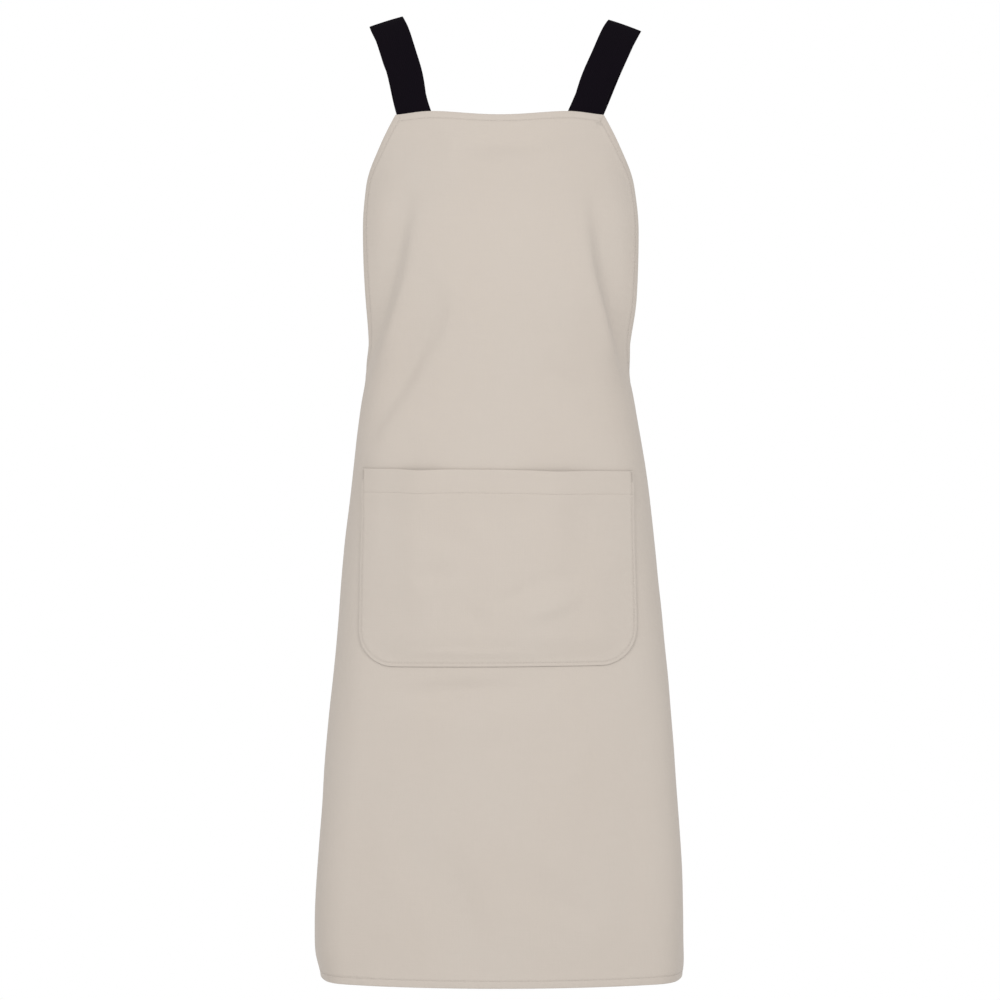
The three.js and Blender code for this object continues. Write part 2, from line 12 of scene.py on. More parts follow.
import bpy
import numpy as np
from mathutils.kdtree import KDTree
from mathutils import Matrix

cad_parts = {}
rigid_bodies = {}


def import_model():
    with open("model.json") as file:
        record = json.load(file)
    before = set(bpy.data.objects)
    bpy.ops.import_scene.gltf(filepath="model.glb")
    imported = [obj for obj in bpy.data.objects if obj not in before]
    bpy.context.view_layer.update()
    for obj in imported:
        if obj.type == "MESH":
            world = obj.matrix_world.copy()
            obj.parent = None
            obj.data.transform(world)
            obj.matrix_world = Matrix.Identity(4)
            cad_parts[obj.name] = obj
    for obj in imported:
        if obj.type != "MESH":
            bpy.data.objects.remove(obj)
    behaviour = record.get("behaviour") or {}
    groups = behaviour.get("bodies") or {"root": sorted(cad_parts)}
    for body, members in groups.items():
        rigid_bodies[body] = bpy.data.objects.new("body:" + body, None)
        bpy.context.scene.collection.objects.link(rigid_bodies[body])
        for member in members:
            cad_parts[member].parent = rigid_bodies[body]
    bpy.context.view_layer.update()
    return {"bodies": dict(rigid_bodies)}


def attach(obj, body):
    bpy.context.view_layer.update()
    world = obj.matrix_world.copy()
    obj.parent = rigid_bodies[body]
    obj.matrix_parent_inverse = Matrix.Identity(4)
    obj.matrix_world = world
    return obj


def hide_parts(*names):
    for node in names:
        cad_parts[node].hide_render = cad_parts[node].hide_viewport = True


bl_info = {
    "name": "Cross-back cotton apron",
    "version": (1, 0, 0),
    "blender": (4, 5, 0),
    "location": "View3D > Sidebar > Apron",
    "description": "Builds a long cotton apron with a patch pocket and crossed tape straps",
    "category": "Add Mesh",
}

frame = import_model()
BODY = next(iter(frame["bodies"]))
MM = 0.001

# Cloth and tape
CLOTH = 0.8  # thickness of the cotton
TAPE = 1.4  # thickness of the strap tape
SEAM_GAP = 0.2  # between two layers of cloth in a hem
HEM = 10.0  # width of a turned hem
HEM_OUTER = -CLOTH - SEAM_GAP  # heights of the hem's two faces over the cloth's face
HEM_INNER = HEM_OUTER - CLOTH

# The apron laid flat
APRON_DROP = 893.0
HALF_PANEL = 330.0
HALF_BIB = 113.0
ARMHOLE_DEPTH = 290.0

# The apron as worn
BIB_TOP = 103.0  # from the shoulder line down to the bib
BIB_SAG = 4.8  # how far the bib's top edge sags between the straps
CORNER_SAG = 2.0  # how far its corners hang outside the straps
SAG_REACH = 70.0  # drop over which the sag fades
WORN_WIDTH = 384.0
WORN_DEPTH = 128.0

# Straps
STRAP_WIDTH = 37.0
STRAP_TUCK = 28.0  # end of a strap that is sewn behind the cloth
STRAP_SEAM_GAP = 0.9  # between a hem and the end of a strap
SHOULDER_OUT = 120.0  # from the middle to where a strap rests
BACK_DEPTH = 88.0  # from the shoulder line back to the straps
BODY_ROUND = 400.0  # radius of the roundness that the straps lie on
CORNER_INSET = 24.0  # from a back corner to the middle of its strap
CROSSING_GAP = 0.25  # between the straps where they cross
CROSSING_HOLD = 48.0  # way from the crossing in which they stay apart
CROSSING_FADE = 111.0  # way from the crossing at which they are level again
BIB_FADE = 50.0  # length in which a strap leaves the bib's form
CORNER_FADE = 70.0  # length in which it reaches the back corner's form

# Pocket
POCKET_WIDTH = 294.0
POCKET_SHIFT = -3.0  # its middle from the middle of the apron
POCKET_DEPTH = 200.0
POCKET_TOP = 370.0  # from the bib's top edge down to the mouth
POCKET_CORNER = 40.0  # radius of its bottom corners
POCKET_HEM = 24.0
POCKET_SLACK = 3.4  # how far the mouth gapes at its widest
POCKET_BILLOW = 4.5  # how far the middle stands off the panel
POCKET_SEAM_GAP = 0.25
BILLOW_RISE = (0.1, 0.7)  # shares of the depth between which the billow starts and ends
BILLOW_FALL = (0.84, 1)
MOUTH_TILT = 3.0  # how much lower the right end of the mouth is
FOOT_TILT = -2.0
MOUTH_DIP = 1.4  # how far the mouth sags where it gapes
BULGE_LEAST = 0.04
BULGES = ((-0.54, 0.14, 1.1), (0.42, 0.18, 0.9))  # middle, width, height

# Level sections of the worn cloth, from the top edge to the hem
SECTION_COLUMNS = ("down", "half", "front", "side", "back", "turn", "flank", "shift")
SECTIONS = (
    (0.0, 0.734, 0.66, 0.5, 0.78, 28, 90, -0.001),
    (0.067, 0.758, 0.83, 0.5, 0.78, 28, 90, 0),
    (0.14, 0.781, 0.99, 0.5, 0.78, 27, 90, 0.002),
    (0.215, 0.769, 1.01, 0.49, 0.78, 26, 90, 0.002),
    (0.272, 0.73, 0.99, 0.47, 0.78, 25, 90, -0.002),
    (0.3, 0.715, 0.98, 0.46, 0.78, 25, 90, -0.005),
    (0.34, 0.742, 0.97, 0.44, 0.78, 24, 90, -0.005),
    (0.415, 0.793, 0.97, 0.4, 0.78, 23, 90, -0.002),
    (0.56, 0.864, 0.99, 0.37, 0.79, 23, 86, 0),
    (0.785, 0.952, 1.07, 0.29, 0.83, 22, 78, 0),
    (0.94, 1.002, 1.15, 0.22, 0.89, 20, 71, -0.002),
    (1.0, 1.003, 1.17, 0.2, 0.9, 20, 70, 0),
)

# Armhole edge from the end of the bib's top edge to the back corner
ARMHOLE_COLUMNS = ("down", "out")
ARMHOLE = (
    (0.0, 0.0),
    (0.12, 0.1),
    (0.26, 0.205),
    (0.41, 0.226),
    (0.66, 0.226),
    (0.82, 0.23),
    (0.9, 0.29),
    (0.955, 0.46),
    (0.985, 0.72),
    (1.0, 1.0),
)

# Folds of the worn cloth: s0, t0, s1, t1, bow, depth, left, right. The places are shares of half
# the panel's width and of its drop, and the rest are shares of WORN_DEPTH.
FOLDS = (
    # from the bib down and out to the waist
    (-0.295, 0.085, -0.495, 0.31, 0.06, -0.068, 0.11, 0.22),
    (0.3, 0.085, 0.495, 0.325, -0.09, -0.07, 0.22, 0.105),
    (-0.17, 0.2, -0.46, 0.39, 0.08, -0.05, 0.09, 0.17),
    # slack under the bib's top edge
    (-0.16, 0.052, 0.2, 0.035, 0.03, -0.016, 0.1, 0.12),
    # pull across the front above the pocket
    (0.13, 0.3, 0.42, 0.36, 0.05, -0.012, 0.1, 0.12),
    # level folds under the pocket
    (-0.38, 0.672, 0.2, 0.655, -0.04, -0.02, 0.12, 0.12),
    (-0.42, 0.71, 0.42, 0.7, 0.05, 0.014, 0.16, 0.16),
    # long soft folds of the skirt
    (-0.26, 0.83, -0.05, 1.0, 0.06, -0.03, 0.2, 0.2),
    (-0.02, 0.87, 0.34, 0.93, 0.05, -0.02, 0.12, 0.16),
    (0.52, 0.5, 0.6, 1.02, 0.0, 0.03, 0.22, 0.18),
    (-0.6, 0.62, -0.63, 1.02, 0.0, 0.022, 0.2, 0.24),
    (0.8, 0.42, 0.78, 1.03, 0.03, -0.05, 0.24, 0.24),
    (-0.8, 0.42, -0.79, 1.03, -0.03, -0.045, 0.24, 0.24),
    # the hem's corners, drawn in
    (-0.4, 1.0, -1.05, 1.0, 0.0, -0.045, 0.13, 0.13),
    (0.4, 1.0, 1.05, 1.0, 0.0, -0.02, 0.08, 0.08),
)

# Small creases of the cloth that the solids leave out: s0, t0, s1, t1, bow, depth, left, right
# in millimetres
CREASES = (
    (88, 104, 150, 284, -11, 1.3, 5, 12),
    (94, 136, 144, 274, -4, -1.7, 7, 3.2),
    (-86, 98, -146, 262, 7, 1.0, 12, 6),
    (-98, 140, -142, 252, 5, -1.2, 4, 8),
    (-58, 190, -76, 262, 4, -1.3, 7, 13),
    (-50, 36, 50, 30, 2, -2.4, 8, 9),
    (-104, 12, -52, 44, 4, -2.2, 9, 12),
    (52, 42, 104, 14, 4, -2.2, 12, 9),
    (40, 268, 120, 312, 5, -0.5, 6, 9),
    (-118, 300, -40, 352, -4, 0.5, 8, 10),
    (-112, 600, 24, 591, 3, -1.9, 7, 10),
    (30, 604, 118, 588, 3, 0.6, 8, 8),
    (-60, 742, -24, 850, 5, -1.5, 12, 8),
    (22, 800, 96, 826, 4, -1.4, 7, 10),
    (96, 640, 60, 700, 3, 0.6, 9, 9),
    (-128, 700, -96, 820, -4, 0.6, 14, 12),
)

# Small creases of the pocket: places across from its middle and down from its mouth
POCKET_CREASES = (
    (-86, 112, -40, 97, -2, -2.6, 9, 9),
    (24, 150, 88, 124, -2, 2.8, 8, 9),
    (-6, 140, 44, 118, 2, -2.0, 7, 8),
    (20, 118, 92, 110, 3, -1.5, 8, 8),
    (-110, 187, 60, 190, 1, 2.1, 5, 9),
    (-96, 60, -12, 88, 6, -1.3, 12, 12),
    (66, 36, 112, 84, -5, -1.5, 11, 12),
    (-40, 130, -4, 176, 3, -1.3, 10, 10),
)

# Side view of a strap over the shoulder: y, z, across, lean
SHOULDER_FRONT = (
    (0.84, 0.71, 0.8, 0.5),
    (0.66, 0.45, 0.865, 0.8),
    (0.4, 0.19, 0.935, 0.97),
    (0.0, 0.0, 1.0, 1.0),
)
SHOULDER_BACK = (
    (0.34, 0.035, 0.945, 1.0),
    (0.62, 0.11, 0.865, 0.75),
    (0.84, 0.215, 0.783, 0.0),
    (0.98, 0.41, 0.45, 0.0),
    (0.9, 0.68, 0.0, 0.0),
    (0.7, 0.85, -0.29, 0.0),
)

# Soft waves of hanging cloth: seed, longest, shortest, count. The straps have seeds of their own.
CLOTH_WAVES = (11, 190, 38, 26)
POCKET_WAVES = (23, 120, 30, 20)
STRAP_WAVES = (160, 50, 12)
STRAP_SEED = 31
POCKET_UNEVENNESS = 0.7  # share of the waves that the pocket has
STRAP_WAVE_ACROSS = 0.6

# Relief of the dressed cloth: lengths in from the seams where it starts to hang free, heights of
# the hem and the welt, and depths and widths of the stitch lines
CLOTH_CALM = 40
POCKET_CALM = 22
MOUTH_CALM = 14
STRAP_CALM = (20, 90)
HEM_RISE = 0.25
HEM_RISE_FADE = 2.5
WELT_RISE = 0.3
WELT_FADE = (4.5, 7)
STITCH_SINK = 0.3
STITCH_SINK_WIDTH = 1.0
POCKET_SINK_WIDTH = 0.9
MOUTH_SINK = 0.12
MOUTH_SINK_WIDTH = 1.1

# Rounded edge of the cloth where its hem turns in, and steps of its grid in from the edge
ROLL = -HEM_INNER / 2
ROLL_INSIDE = ROLL - CLOTH
ROLL_ANGLES = (90.0, 60.0, 30.0, 0.0)
HEM_STEPS = (2.4, 3.8, 5.2, 6.4, 7.0, 7.5, 8.0, 8.8, 10.0)

# Cross section of a turned hem in from its folded edge, and how it thins at its inner end
BAND_ANGLES = (90.0, 120.0, 150.0, 180.0)
BAND_STEPS = (3.0, 5.0, 6.5, 7.5, 8.5, 9.3, 9.75, 10.0)
BAND_PINCH = (0, 0, 0, 0, 0, 0, 0.15, 0.45)

# Columns and rows of the grids
CLOTH_COLUMNS, CLOTH_ROWS = 124, 172
TOP_HEM_COLUMNS, BOTTOM_HEM_COLUMNS = 90, 150
ARMHOLE_HEM_ROWS, SIDE_HEM_ROWS = 96, 120
ARMHOLE_POINTS, EDGE_POINTS, HEM_STITCH_POINTS = 401, 1200, 900
POCKET_COLUMNS, POCKET_ROWS, POCKET_CORNER_ROWS = 96, 30, 26
POCKET_OUTLINE_POINTS = 40
STRAP_ROWS, STRAP_TUCK_ROWS = 240, 11

# The pocket's steps down from its mouth and in from its sides, and its two kinds of edge
MOUTH_STEPS = (0, 0.12, 0.45, 0.9, 2.2, 5, 9, 13, 17, 20.6, 22.4, 23.3, 24, 24.7, 25.6, 27.4)
POCKET_MIDDLE_START = 30
POCKET_END_STEPS = (0, 0.12, 0.45, 0.9, 1.8, 2.8, 3.6, 4.4, 5.4, 7.2, 9.5)
POCKET_EDGE = 0.75  # radius of the pocket's turned sides
FACE_GAP = 0.05  # least thickness at a rounded edge

# The hem of the pocket's mouth
MOUTH_HEM_INSET = 9.0
MOUTH_HEM_STEPS = (*MOUTH_STEPS[:11], 22.9, 23.5, 23.8, 24)
MOUTH_HEM_COLUMNS = 90
MOUTH_PINCH = 0.5
MOUTH_PINCH_START = 23.3

# The tape's woven edges: steps in from the edge, the rounding and the share of its thickness left
STRAP_EDGE_STEPS = (0, 0.15, 0.45, 0.9, 1.5)
STRAP_FLAT_START = 2.4
STRAP_FLAT_COLUMNS = 7
STRAP_EDGE_ROUND = 0.9
STRAP_EDGE_THIN = 0.1

# Stitches: where the thread runs along one, and how high it rises, in thread radii
THREAD_SIDES = 5
THREAD_END = 0.45  # share of the radius at a stitch's two ends
STITCH_SHARES = np.array([0, 0.3, 0.7, 1])
STITCH_RISES = np.array([-0.9, 0.5, 0.5, -0.9])
STITCH_LIFT = 0.02
HEM_STITCH_START = 0.004  # share of the way down the edge where its stitches start

# Bar tacks at the ends of the pocket's mouth, and the crossed boxes at the strap ends
TACK_INSET = 3.2
TACK_TOP = 1.5
TACK_HEIGHT = 9.5
TACK_WIDTH = 2.2
TACK_LIFT = 0.05
TACK_PITCH = 0.62
TACK_LEAN = 0.15
MOUTH_STITCH_END = 1.5
BOX_NEAR = 5
BOX_FAR = 24
BOX_INSET = 4

# Shares of the cotton's colour, and how much painted shade darkens the stitch lines, as if shade falls in
# their grooves
# painted shade: the hems' cotton is a darker copy of the apron's cotton
HEM_PAINTED_SHADE = 0.97
# painted shade: the pocket's cotton is a slightly darker copy of the apron's cotton
POCKET_PAINTED_SHADE = 0.995
THREAD_SHADE = 0.97
CLOTH_STITCH_PAINTED_SHADE = 0.03
FOLDED_STITCH_PAINTED_SHADE = 0.05

# Finish of the cotton: low and high shares of its colour, its warm and cool patches, and the
# depth in metres and strength of its bumps
SLUB_SHADE = (0.955, 1.045)
# painted shade: the weave is darker in the gaps between its threads
WEAVE_GAP_PAINTED_SHADE = (0.985, 1.01)
CLOUD_SHADE = (0.985, 1.015)
COTTON_ROUGHNESS = (0.86, 0.96)
WARM_PATCH = (1.012, 0.998, 0.985)
COOL_PATCH = (0.988, 1.002, 1.012)
WEAVE_BUMP = (0.00012, 0.5)
SLUB_BUMP = (0.0004, 0.45)
PUCKER_BUMP = (0.0016, 0.5)
# width in millimetres of the painted shade along the stitch line
STITCH_SHADE_WIDTH = 0.9
PUCKER_WIDTH = 6.5

# Finish of the tape, in the same way
RIB_SHADE = (0.95, 1.12)
WEAR_SHADE = (0.8, 1.2)
SELVEDGE_SHADE = (1.0, 1.15)
TAPE_ROUGHNESS = (0.72, 0.9)
BROWN_PATCH = (1.5, 1.15, 1.1)
RIB_BUMP = (0.00022, 0.6)
WEAR_BUMP = (0.0003, 0.4)
PICK_HEIGHT = 0.22
SELVEDGE_MIDDLE = 0.6
SELVEDGE_WIDTH = 0.9

# Sewing thread of the straps, and the finish of both threads
TAPE_THREAD = (0.02, 0.018, 0.02)
FIBRE_SHADE = (0.85, 1.12)
FIBRE_BUMP = (0.0001, 0.5)

# Stage, in metres: each lamp's name, place, width and share of the window light's power
LAMPS = (
    ("window_light", (-1.7, -2.7, 0.9), 1.3, 1.0),
    ("fill_light", (1.7, -2.7, 0.7), 1.3, 0.92),
)
LAMP_TARGET = (0, 0, -0.5)
CEILING_FADE = (0.24, 0.5)  # steepness between which daylight turns into ceiling light
FLOOR_RINGS = (0.6, 1.2, 1.8, 2.3)
FLOOR_SIDES = 96
FLOOR_COLOUR = (0.9, 0.9, 0.9)

STEP = 0.5  # between points that a surface's direction is measured from


def mix(a, b, share):
    return a + (b - a) * share


def smooth(low, high, x):
    """A share that rises softly from 0 at a low value to 1 at a high one."""
    share = np.clip((x - low) / (high - low), 0, 1)
    return share * share * (3 - 2 * share)


def groove(off, width):
    """A share that is 1 at the middle of a groove and falls to 0 on both sides."""
    return np.exp(-((off / width) ** 2))


def shaded(colour, share):
    return tuple(part * share for part in colour)


class Curve:
    """A smooth line through the rows of a table, straight past both ends. It never overshoots."""

    def __init__(self, places, values):
        self.x = np.array(places, float)
        self.y = np.array(values, float)
        slope = np.diff(self.y) / np.diff(self.x)
        before, after = slope[:-1], slope[1:]
        total = np.where(before + after == 0, 1, before + after)
        bend = np.where(before * after <= 0, 0, 2 * before * after / total)
        self.slope = np.concatenate([slope[:1], bend, slope[-1:]])

    def __call__(self, at):
        at = np.asarray(at, float)
        k = np.clip(np.searchsorted(self.x, at, side="right") - 1, 0, len(self.x) - 2)
        width = self.x[k + 1] - self.x[k]
        u = np.clip((at - self.x[k]) / width, 0, 1)
        inside = (
            self.y[k] * (1 + 2 * u) * (1 - u) ** 2
            + self.y[k + 1] * u * u * (3 - 2 * u)
            + width * (self.slope[k] * u * (1 - u) ** 2 - self.slope[k + 1] * u * u * (1 - u))
        )
        before = np.minimum(at - self.x[0], 0) * self.slope[0]
        after = np.maximum(at - self.x[-1], 0) * self.slope[-1]
        return inside + before + after


def table_curves(columns, rows):
    """A curve for each column of a table, by the values of its first column."""
    places = [row[0] for row in rows]
    return {
        name: Curve(places, [row[k] for row in rows])
        for k, name in enumerate(columns)
        if k > 0
    }


SECTION = table_curves(SECTION_COLUMNS, SECTIONS)
ARMHOLE_OUT = table_curves(ARMHOLE_COLUMNS, ARMHOLE)["out"]


def crease_push(s, t, creases):
    """Outward push of a table of creases at places on the cloth."""
    push = np.zeros(np.broadcast(s, t).shape)
    for s0, t0, s1, t1, bow, depth, left, right in creases:
        run_s, run_t = s1 - s0, t1 - t0
        length = math.hypot(run_s, run_t)
        share = ((s - s0) * run_s + (t - t0) * run_t) / length**2
        off = ((s - s0) * run_t - (t - t0) * run_s) / length - bow * 4 * share * (1 - share)
        width = np.where(off > 0, left, right)
        taper = np.sin(np.pi * np.clip(share, 0, 1))
        push += depth * taper * groove(off, width)
    return push


WORN_FOLDS = tuple(
    (
        row[0] * HALF_PANEL,
        row[1] * APRON_DROP,
        row[2] * HALF_PANEL,
        row[3] * APRON_DROP,
        *(value * WORN_DEPTH for value in row[4:]),
    )
    for row in FOLDS
)


def form_point(s, t):
    """A point of the smooth worn form, with no folds."""
    down = t / APRON_DROP
    half = SECTION["half"](down) * WORN_WIDTH / 2
    side = SECTION["side"](down) * half
    back = SECTION["back"](down) * half
    turn = np.radians(SECTION["turn"](down))
    flank = np.radians(SECTION["flank"](down))
    side_out = side * (np.sin(flank) - np.sin(turn))
    wide = (half - side_out - back * (1 - np.sin(flank))) / np.sin(turn)
    reach = np.abs(s)
    side_start = wide * turn
    back_start = side_start + side * (flank - turn)
    side_deep = wide * (1 - np.cos(turn))
    back_deep = side_deep + side * (np.cos(turn) - np.cos(flank))
    on_front = reach / wide
    on_side = turn + (reach - side_start) / side
    on_back = flank + (reach - back_start) / back
    parts = [reach < side_start, reach < back_start]
    x = np.select(
        parts,
        [wide * np.sin(on_front), wide * np.sin(turn) + side * (np.sin(on_side) - np.sin(turn))],
        half - back * (1 - np.sin(on_back)),
    )
    behind = np.select(
        parts,
        [wide * (1 - np.cos(on_front)), side_deep + side * (np.cos(turn) - np.cos(on_side))],
        back_deep + back * (np.cos(flank) - np.cos(on_back)),
    )
    inner = HALF_BIB - STRAP_WIDTH
    between = BIB_SAG * (1 - np.minimum(reach / inner, 1) ** 2) ** 2
    corner = CORNER_SAG * smooth(inner, HALF_BIB, reach)
    sag = np.where(reach > inner, corner, between) * np.exp(-np.maximum(t, 0) / SAG_REACH)
    return np.stack(
        [
            np.sign(s) * x + SECTION["shift"](down) * WORN_WIDTH,
            behind - SECTION["front"](down) * WORN_DEPTH,
            -(BIB_TOP + t + sag),
        ],
        axis=-1,
    )


def facing(surface, a, b):
    """The outward direction of a surface, from points a short step apart."""
    across = surface(a + STEP, b) - surface(a - STEP, b)
    down = surface(a, b + STEP) - surface(a, b - STEP)
    normal = np.cross(down, across)
    return normal / np.linalg.norm(normal, axis=-1, keepdims=True)


def cloth_point(s, t):
    """A point of the worn form with its folds."""
    push = crease_push(s, t, WORN_FOLDS)
    return form_point(s, t) + facing(form_point, s, t) * push[..., None]


def on_cloth(s, t, lift):
    """A point at a height over the cloth of the solids."""
    lift = np.broadcast_to(lift, np.broadcast(s, t).shape)
    return cloth_point(s, t) + facing(cloth_point, s, t) * lift[..., None]


def ripple(s, t, seed, longest, shortest, count, height):
    """Gentle unevenness of hanging cloth: waves of many lengths in every direction."""
    random = np.random.default_rng(seed)
    total = np.zeros(np.broadcast(s, t).shape)
    for _ in range(count):
        length = shortest * (longest / shortest) ** random.random()
        angle, phase = random.random(2) * 2 * np.pi
        wave = 2 * np.pi * (s * np.cos(angle) + 0.7 * t * np.sin(angle)) / length + phase
        total += (length / longest) ** 1.3 * np.sin(wave)
    return height * total / math.sqrt(count / 2)


def polyline_lengths(line):
    """Length along a line up to each of its points."""
    steps = np.linalg.norm(np.diff(line, axis=0), axis=1)
    return np.concatenate([[0], np.cumsum(steps)])


def along_line(line, lengths, at):
    """Points of a line at lengths along it."""
    return np.stack([np.interp(at, lengths, line[:, k]) for k in range(line.shape[1])], axis=-1)


def armhole_line():
    """The right armhole's edge laid flat, from the bib's corner to the back corner."""
    down = np.linspace(0, 1, ARMHOLE_POINTS)
    out = ARMHOLE_OUT(down)
    return np.stack([mix(HALF_BIB, HALF_PANEL, out), down * ARMHOLE_DEPTH], axis=1)


def inset_line(line, distance):
    """The armhole's line moved into the cloth, from the bib's top edge to the back corner's mitre."""
    run = np.gradient(line, axis=0)
    run /= np.linalg.norm(run, axis=1, keepdims=True)
    moved = line + np.stack([-run[:, 1], run[:, 0]], axis=1) * distance
    start = moved[0] - run[0] * moved[0][1] / run[0][1]
    inside = moved[moved[:, 0] < HALF_PANEL - distance]
    slope = run[len(inside) - 1]
    gap = HALF_PANEL - distance - inside[-1][0]
    end = inside[-1] + slope * gap / slope[0]
    return np.vstack([start, inside, end])


ARMHOLE_LINE = armhole_line()
ARMHOLE_LENGTHS = polyline_lengths(ARMHOLE_LINE)
INSET_LINE = inset_line(ARMHOLE_LINE, HEM)
INSET_LENGTHS = polyline_lengths(INSET_LINE)
CORNER_AT = ARMHOLE_LENGTHS[-1] / APRON_DROP


def edge_place(way, distance):
    """A place of the right side at a share of the way down the edge and a distance in from it."""
    way, distance = np.broadcast_arrays(way, distance)
    share = np.clip(way / CORNER_AT, 0, 1)
    outer = along_line(ARMHOLE_LINE, ARMHOLE_LENGTHS, share * ARMHOLE_LENGTHS[-1])
    inner = along_line(INSET_LINE, INSET_LENGTHS, share * INSET_LENGTHS[-1])
    below = np.clip((way - CORNER_AT) / (1 - CORNER_AT), 0, 1)
    outer[..., 1] = mix(outer[..., 1], APRON_DROP, below)
    inner[..., 1] = mix(inner[..., 1], APRON_DROP, below)
    return mix(outer, inner, (distance / HEM)[..., None])


def edge_finder(lines):
    """A function that gives the distance to the nearest of some lines, and the length along it."""
    points = np.concatenate(lines)
    lengths = np.concatenate([polyline_lengths(line) for line in lines])
    tree = KDTree(len(points))
    for k, (x, y) in enumerate(points):
        tree.insert((x, y, 0), k)
    tree.balance()

    def find(s, t):
        s, t = np.broadcast_arrays(s, t)
        found = [tree.find((x, y, 0))[1:] for x, y in zip(s.ravel(), t.ravel())]
        index = np.array([row[0] for row in found])
        distance = np.array([row[1] for row in found])
        return distance.reshape(s.shape), lengths[index].reshape(s.shape)

    return find


def dense(line, spacing=0.5):
    """The line again, with points about a spacing apart."""
    lengths = polyline_lengths(line)
    count = max(2, int(lengths[-1] / spacing))
    return along_line(line, lengths, np.linspace(0, lengths[-1], count))


def apron_edges():
    """The four edges of the apron laid flat."""
    way = np.linspace(0, 1, EDGE_POINTS)
    right = edge_place(way, 0)
    left = right * (-1, 1)
    top = np.array([(-HALF_BIB, 0), (HALF_BIB, 0)])
    bottom = np.array([(-HALF_PANEL, APRON_DROP), (HALF_PANEL, APRON_DROP)])
    return [dense(line) for line in (left, right, top, bottom)]


from_edge = edge_finder(apron_edges())


def cloth_relief(s, t, distance):
    """Height of the dressed cloth over the solids: waves, small creases, hem and stitch line."""
    sizes = bpy.context.scene.apron_cotton
    calm = smooth(0, CLOTH_CALM, distance)
    uneven = ripple(s, t, *CLOTH_WAVES, sizes.unevenness)
    creases = crease_push(s, t, CREASES)
    stitch = groove(distance - sizes.stitch_inset, STITCH_SINK_WIDTH)
    hem = HEM_RISE * (1 - smooth(HEM, HEM + HEM_RISE_FADE, distance))
    return calm * (uneven + creases) + hem - STITCH_SINK * stitch


def dressed(s, t, lift):
    """A point at a height over the outer face of the dressed cloth."""
    distance, _ = from_edge(s, t)
    return on_cloth(s, t, lift + cloth_relief(s, t, distance))


def grid_object(name, outer, inner, laid, seam, material):
    """A closed sheet from its outer and inner grid, in rows that run down and columns to the right."""
    rows, columns = outer.shape[:2]
    points = np.concatenate([outer.reshape(-1, 3), inner.reshape(-1, 3)]) * MM
    place = np.arange(rows * columns).reshape(rows, columns)
    a, b, c, d = place[:-1, :-1], place[1:, :-1], place[1:, 1:], place[:-1, 1:]
    front = np.stack([a, b, c, d], axis=-1).reshape(-1, 4)
    back = np.stack([a, d, c, b], axis=-1).reshape(-1, 4) + rows * columns
    rim = np.concatenate(
        [place[:, 0], place[-1, 1:], place[-2::-1, -1], place[0, -2:0:-1]]
    )
    after = np.roll(rim, -1)
    edge = np.stack([rim, rim + rows * columns, after + rows * columns, after], axis=-1)
    faces = np.concatenate([front, back, edge])
    mesh = bpy.data.meshes.new(name)
    mesh.from_pydata(points.tolist(), [], faces.tolist())
    corners = faces.ravel() % (rows * columns)
    for layer_name, values in (("laid_flat", laid), ("seam", seam)):
        layer = mesh.uv_layers.new(name=layer_name)
        flat = (values.reshape(-1, 2)[corners] * MM).astype(np.float32)
        layer.data.foreach_set("uv", flat.ravel())
    mesh.shade_smooth()
    mesh.materials.append(material)
    return add_piece(name, mesh)


def add_piece(name, mesh):
    """A visible piece that rides on the part's body, in one of its material slots."""
    piece = bpy.data.objects.new(name, mesh)
    bpy.context.scene.collection.objects.link(piece)
    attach(piece, BODY)
    return piece


def roll_layers():
    """Distances in from the edge and drops below the cloth's face, outer and inner, round the edge."""
    angle = np.radians(ROLL_ANGLES)
    outer = ROLL - ROLL * np.sin(angle)
    inner = ROLL - ROLL_INSIDE * np.sin(angle)
    outer_drop = ROLL - ROLL * np.cos(angle)
    inner_drop = ROLL - ROLL_INSIDE * np.cos(angle)
    steps = np.array(HEM_STEPS)
    flat = np.zeros(len(steps))
    return (
        np.concatenate([outer, steps]),
        np.concatenate([inner, steps]),
        np.concatenate([outer_drop, flat]),
        np.concatenate([inner_drop, flat + CLOTH]),
    )


def apron_grid(columns, rows):
    """Places and drops of the outer and inner layer of the apron's cloth."""
    layers = roll_layers()
    shares = np.linspace(-1, 1, columns + 1)[1:-1]
    middle_rows = np.linspace(HEM, APRON_DROP - HEM, rows + 1)[1:-1]
    corner = np.abs(middle_rows - CORNER_AT * APRON_DROP).argmin()
    middle_rows[corner] = CORNER_AT * APRON_DROP
    made = []
    for side in (0, 1):
        inset, drop = layers[side], layers[side + 2]
        levels = np.concatenate([inset, middle_rows, APRON_DROP - inset[::-1]])
        fill = np.full(len(middle_rows), 0.0 if side == 0 else CLOTH)
        level_drop = np.concatenate([drop, fill, drop[::-1]])
        way = levels / APRON_DROP
        right = edge_place(way[:, None], inset[None, ::-1])
        left = edge_place(way[:, None], inset[None, :]) * (-1, 1)
        inner_edge = edge_place(way, HEM)
        s = inner_edge[:, None, 0] * shares
        t = mix(levels[:, None], inner_edge[:, None, 1], np.abs(shares) ** 4)
        places = np.concatenate([left, np.stack([s, t], axis=-1), right], axis=1)
        column_fill = np.full(len(shares), 0.0 if side == 0 else CLOTH)
        column_drop = np.concatenate([drop, column_fill, drop[::-1]])
        made.append((places, np.maximum(level_drop[:, None], column_drop[None, :])))
    return made


def sheet_from_places(name, layers, surface, find, material):
    """A closed sheet from the flat places and drops of its two layers."""
    faces = []
    for places, drop in layers:
        faces.append(surface(places[..., 0], places[..., 1], -drop))
    laid = layers[0][0]
    distance, length = find(laid[..., 0], laid[..., 1])
    seam = np.stack([distance, length], axis=-1)
    return grid_object(name, faces[0], faces[1], laid, seam, material)


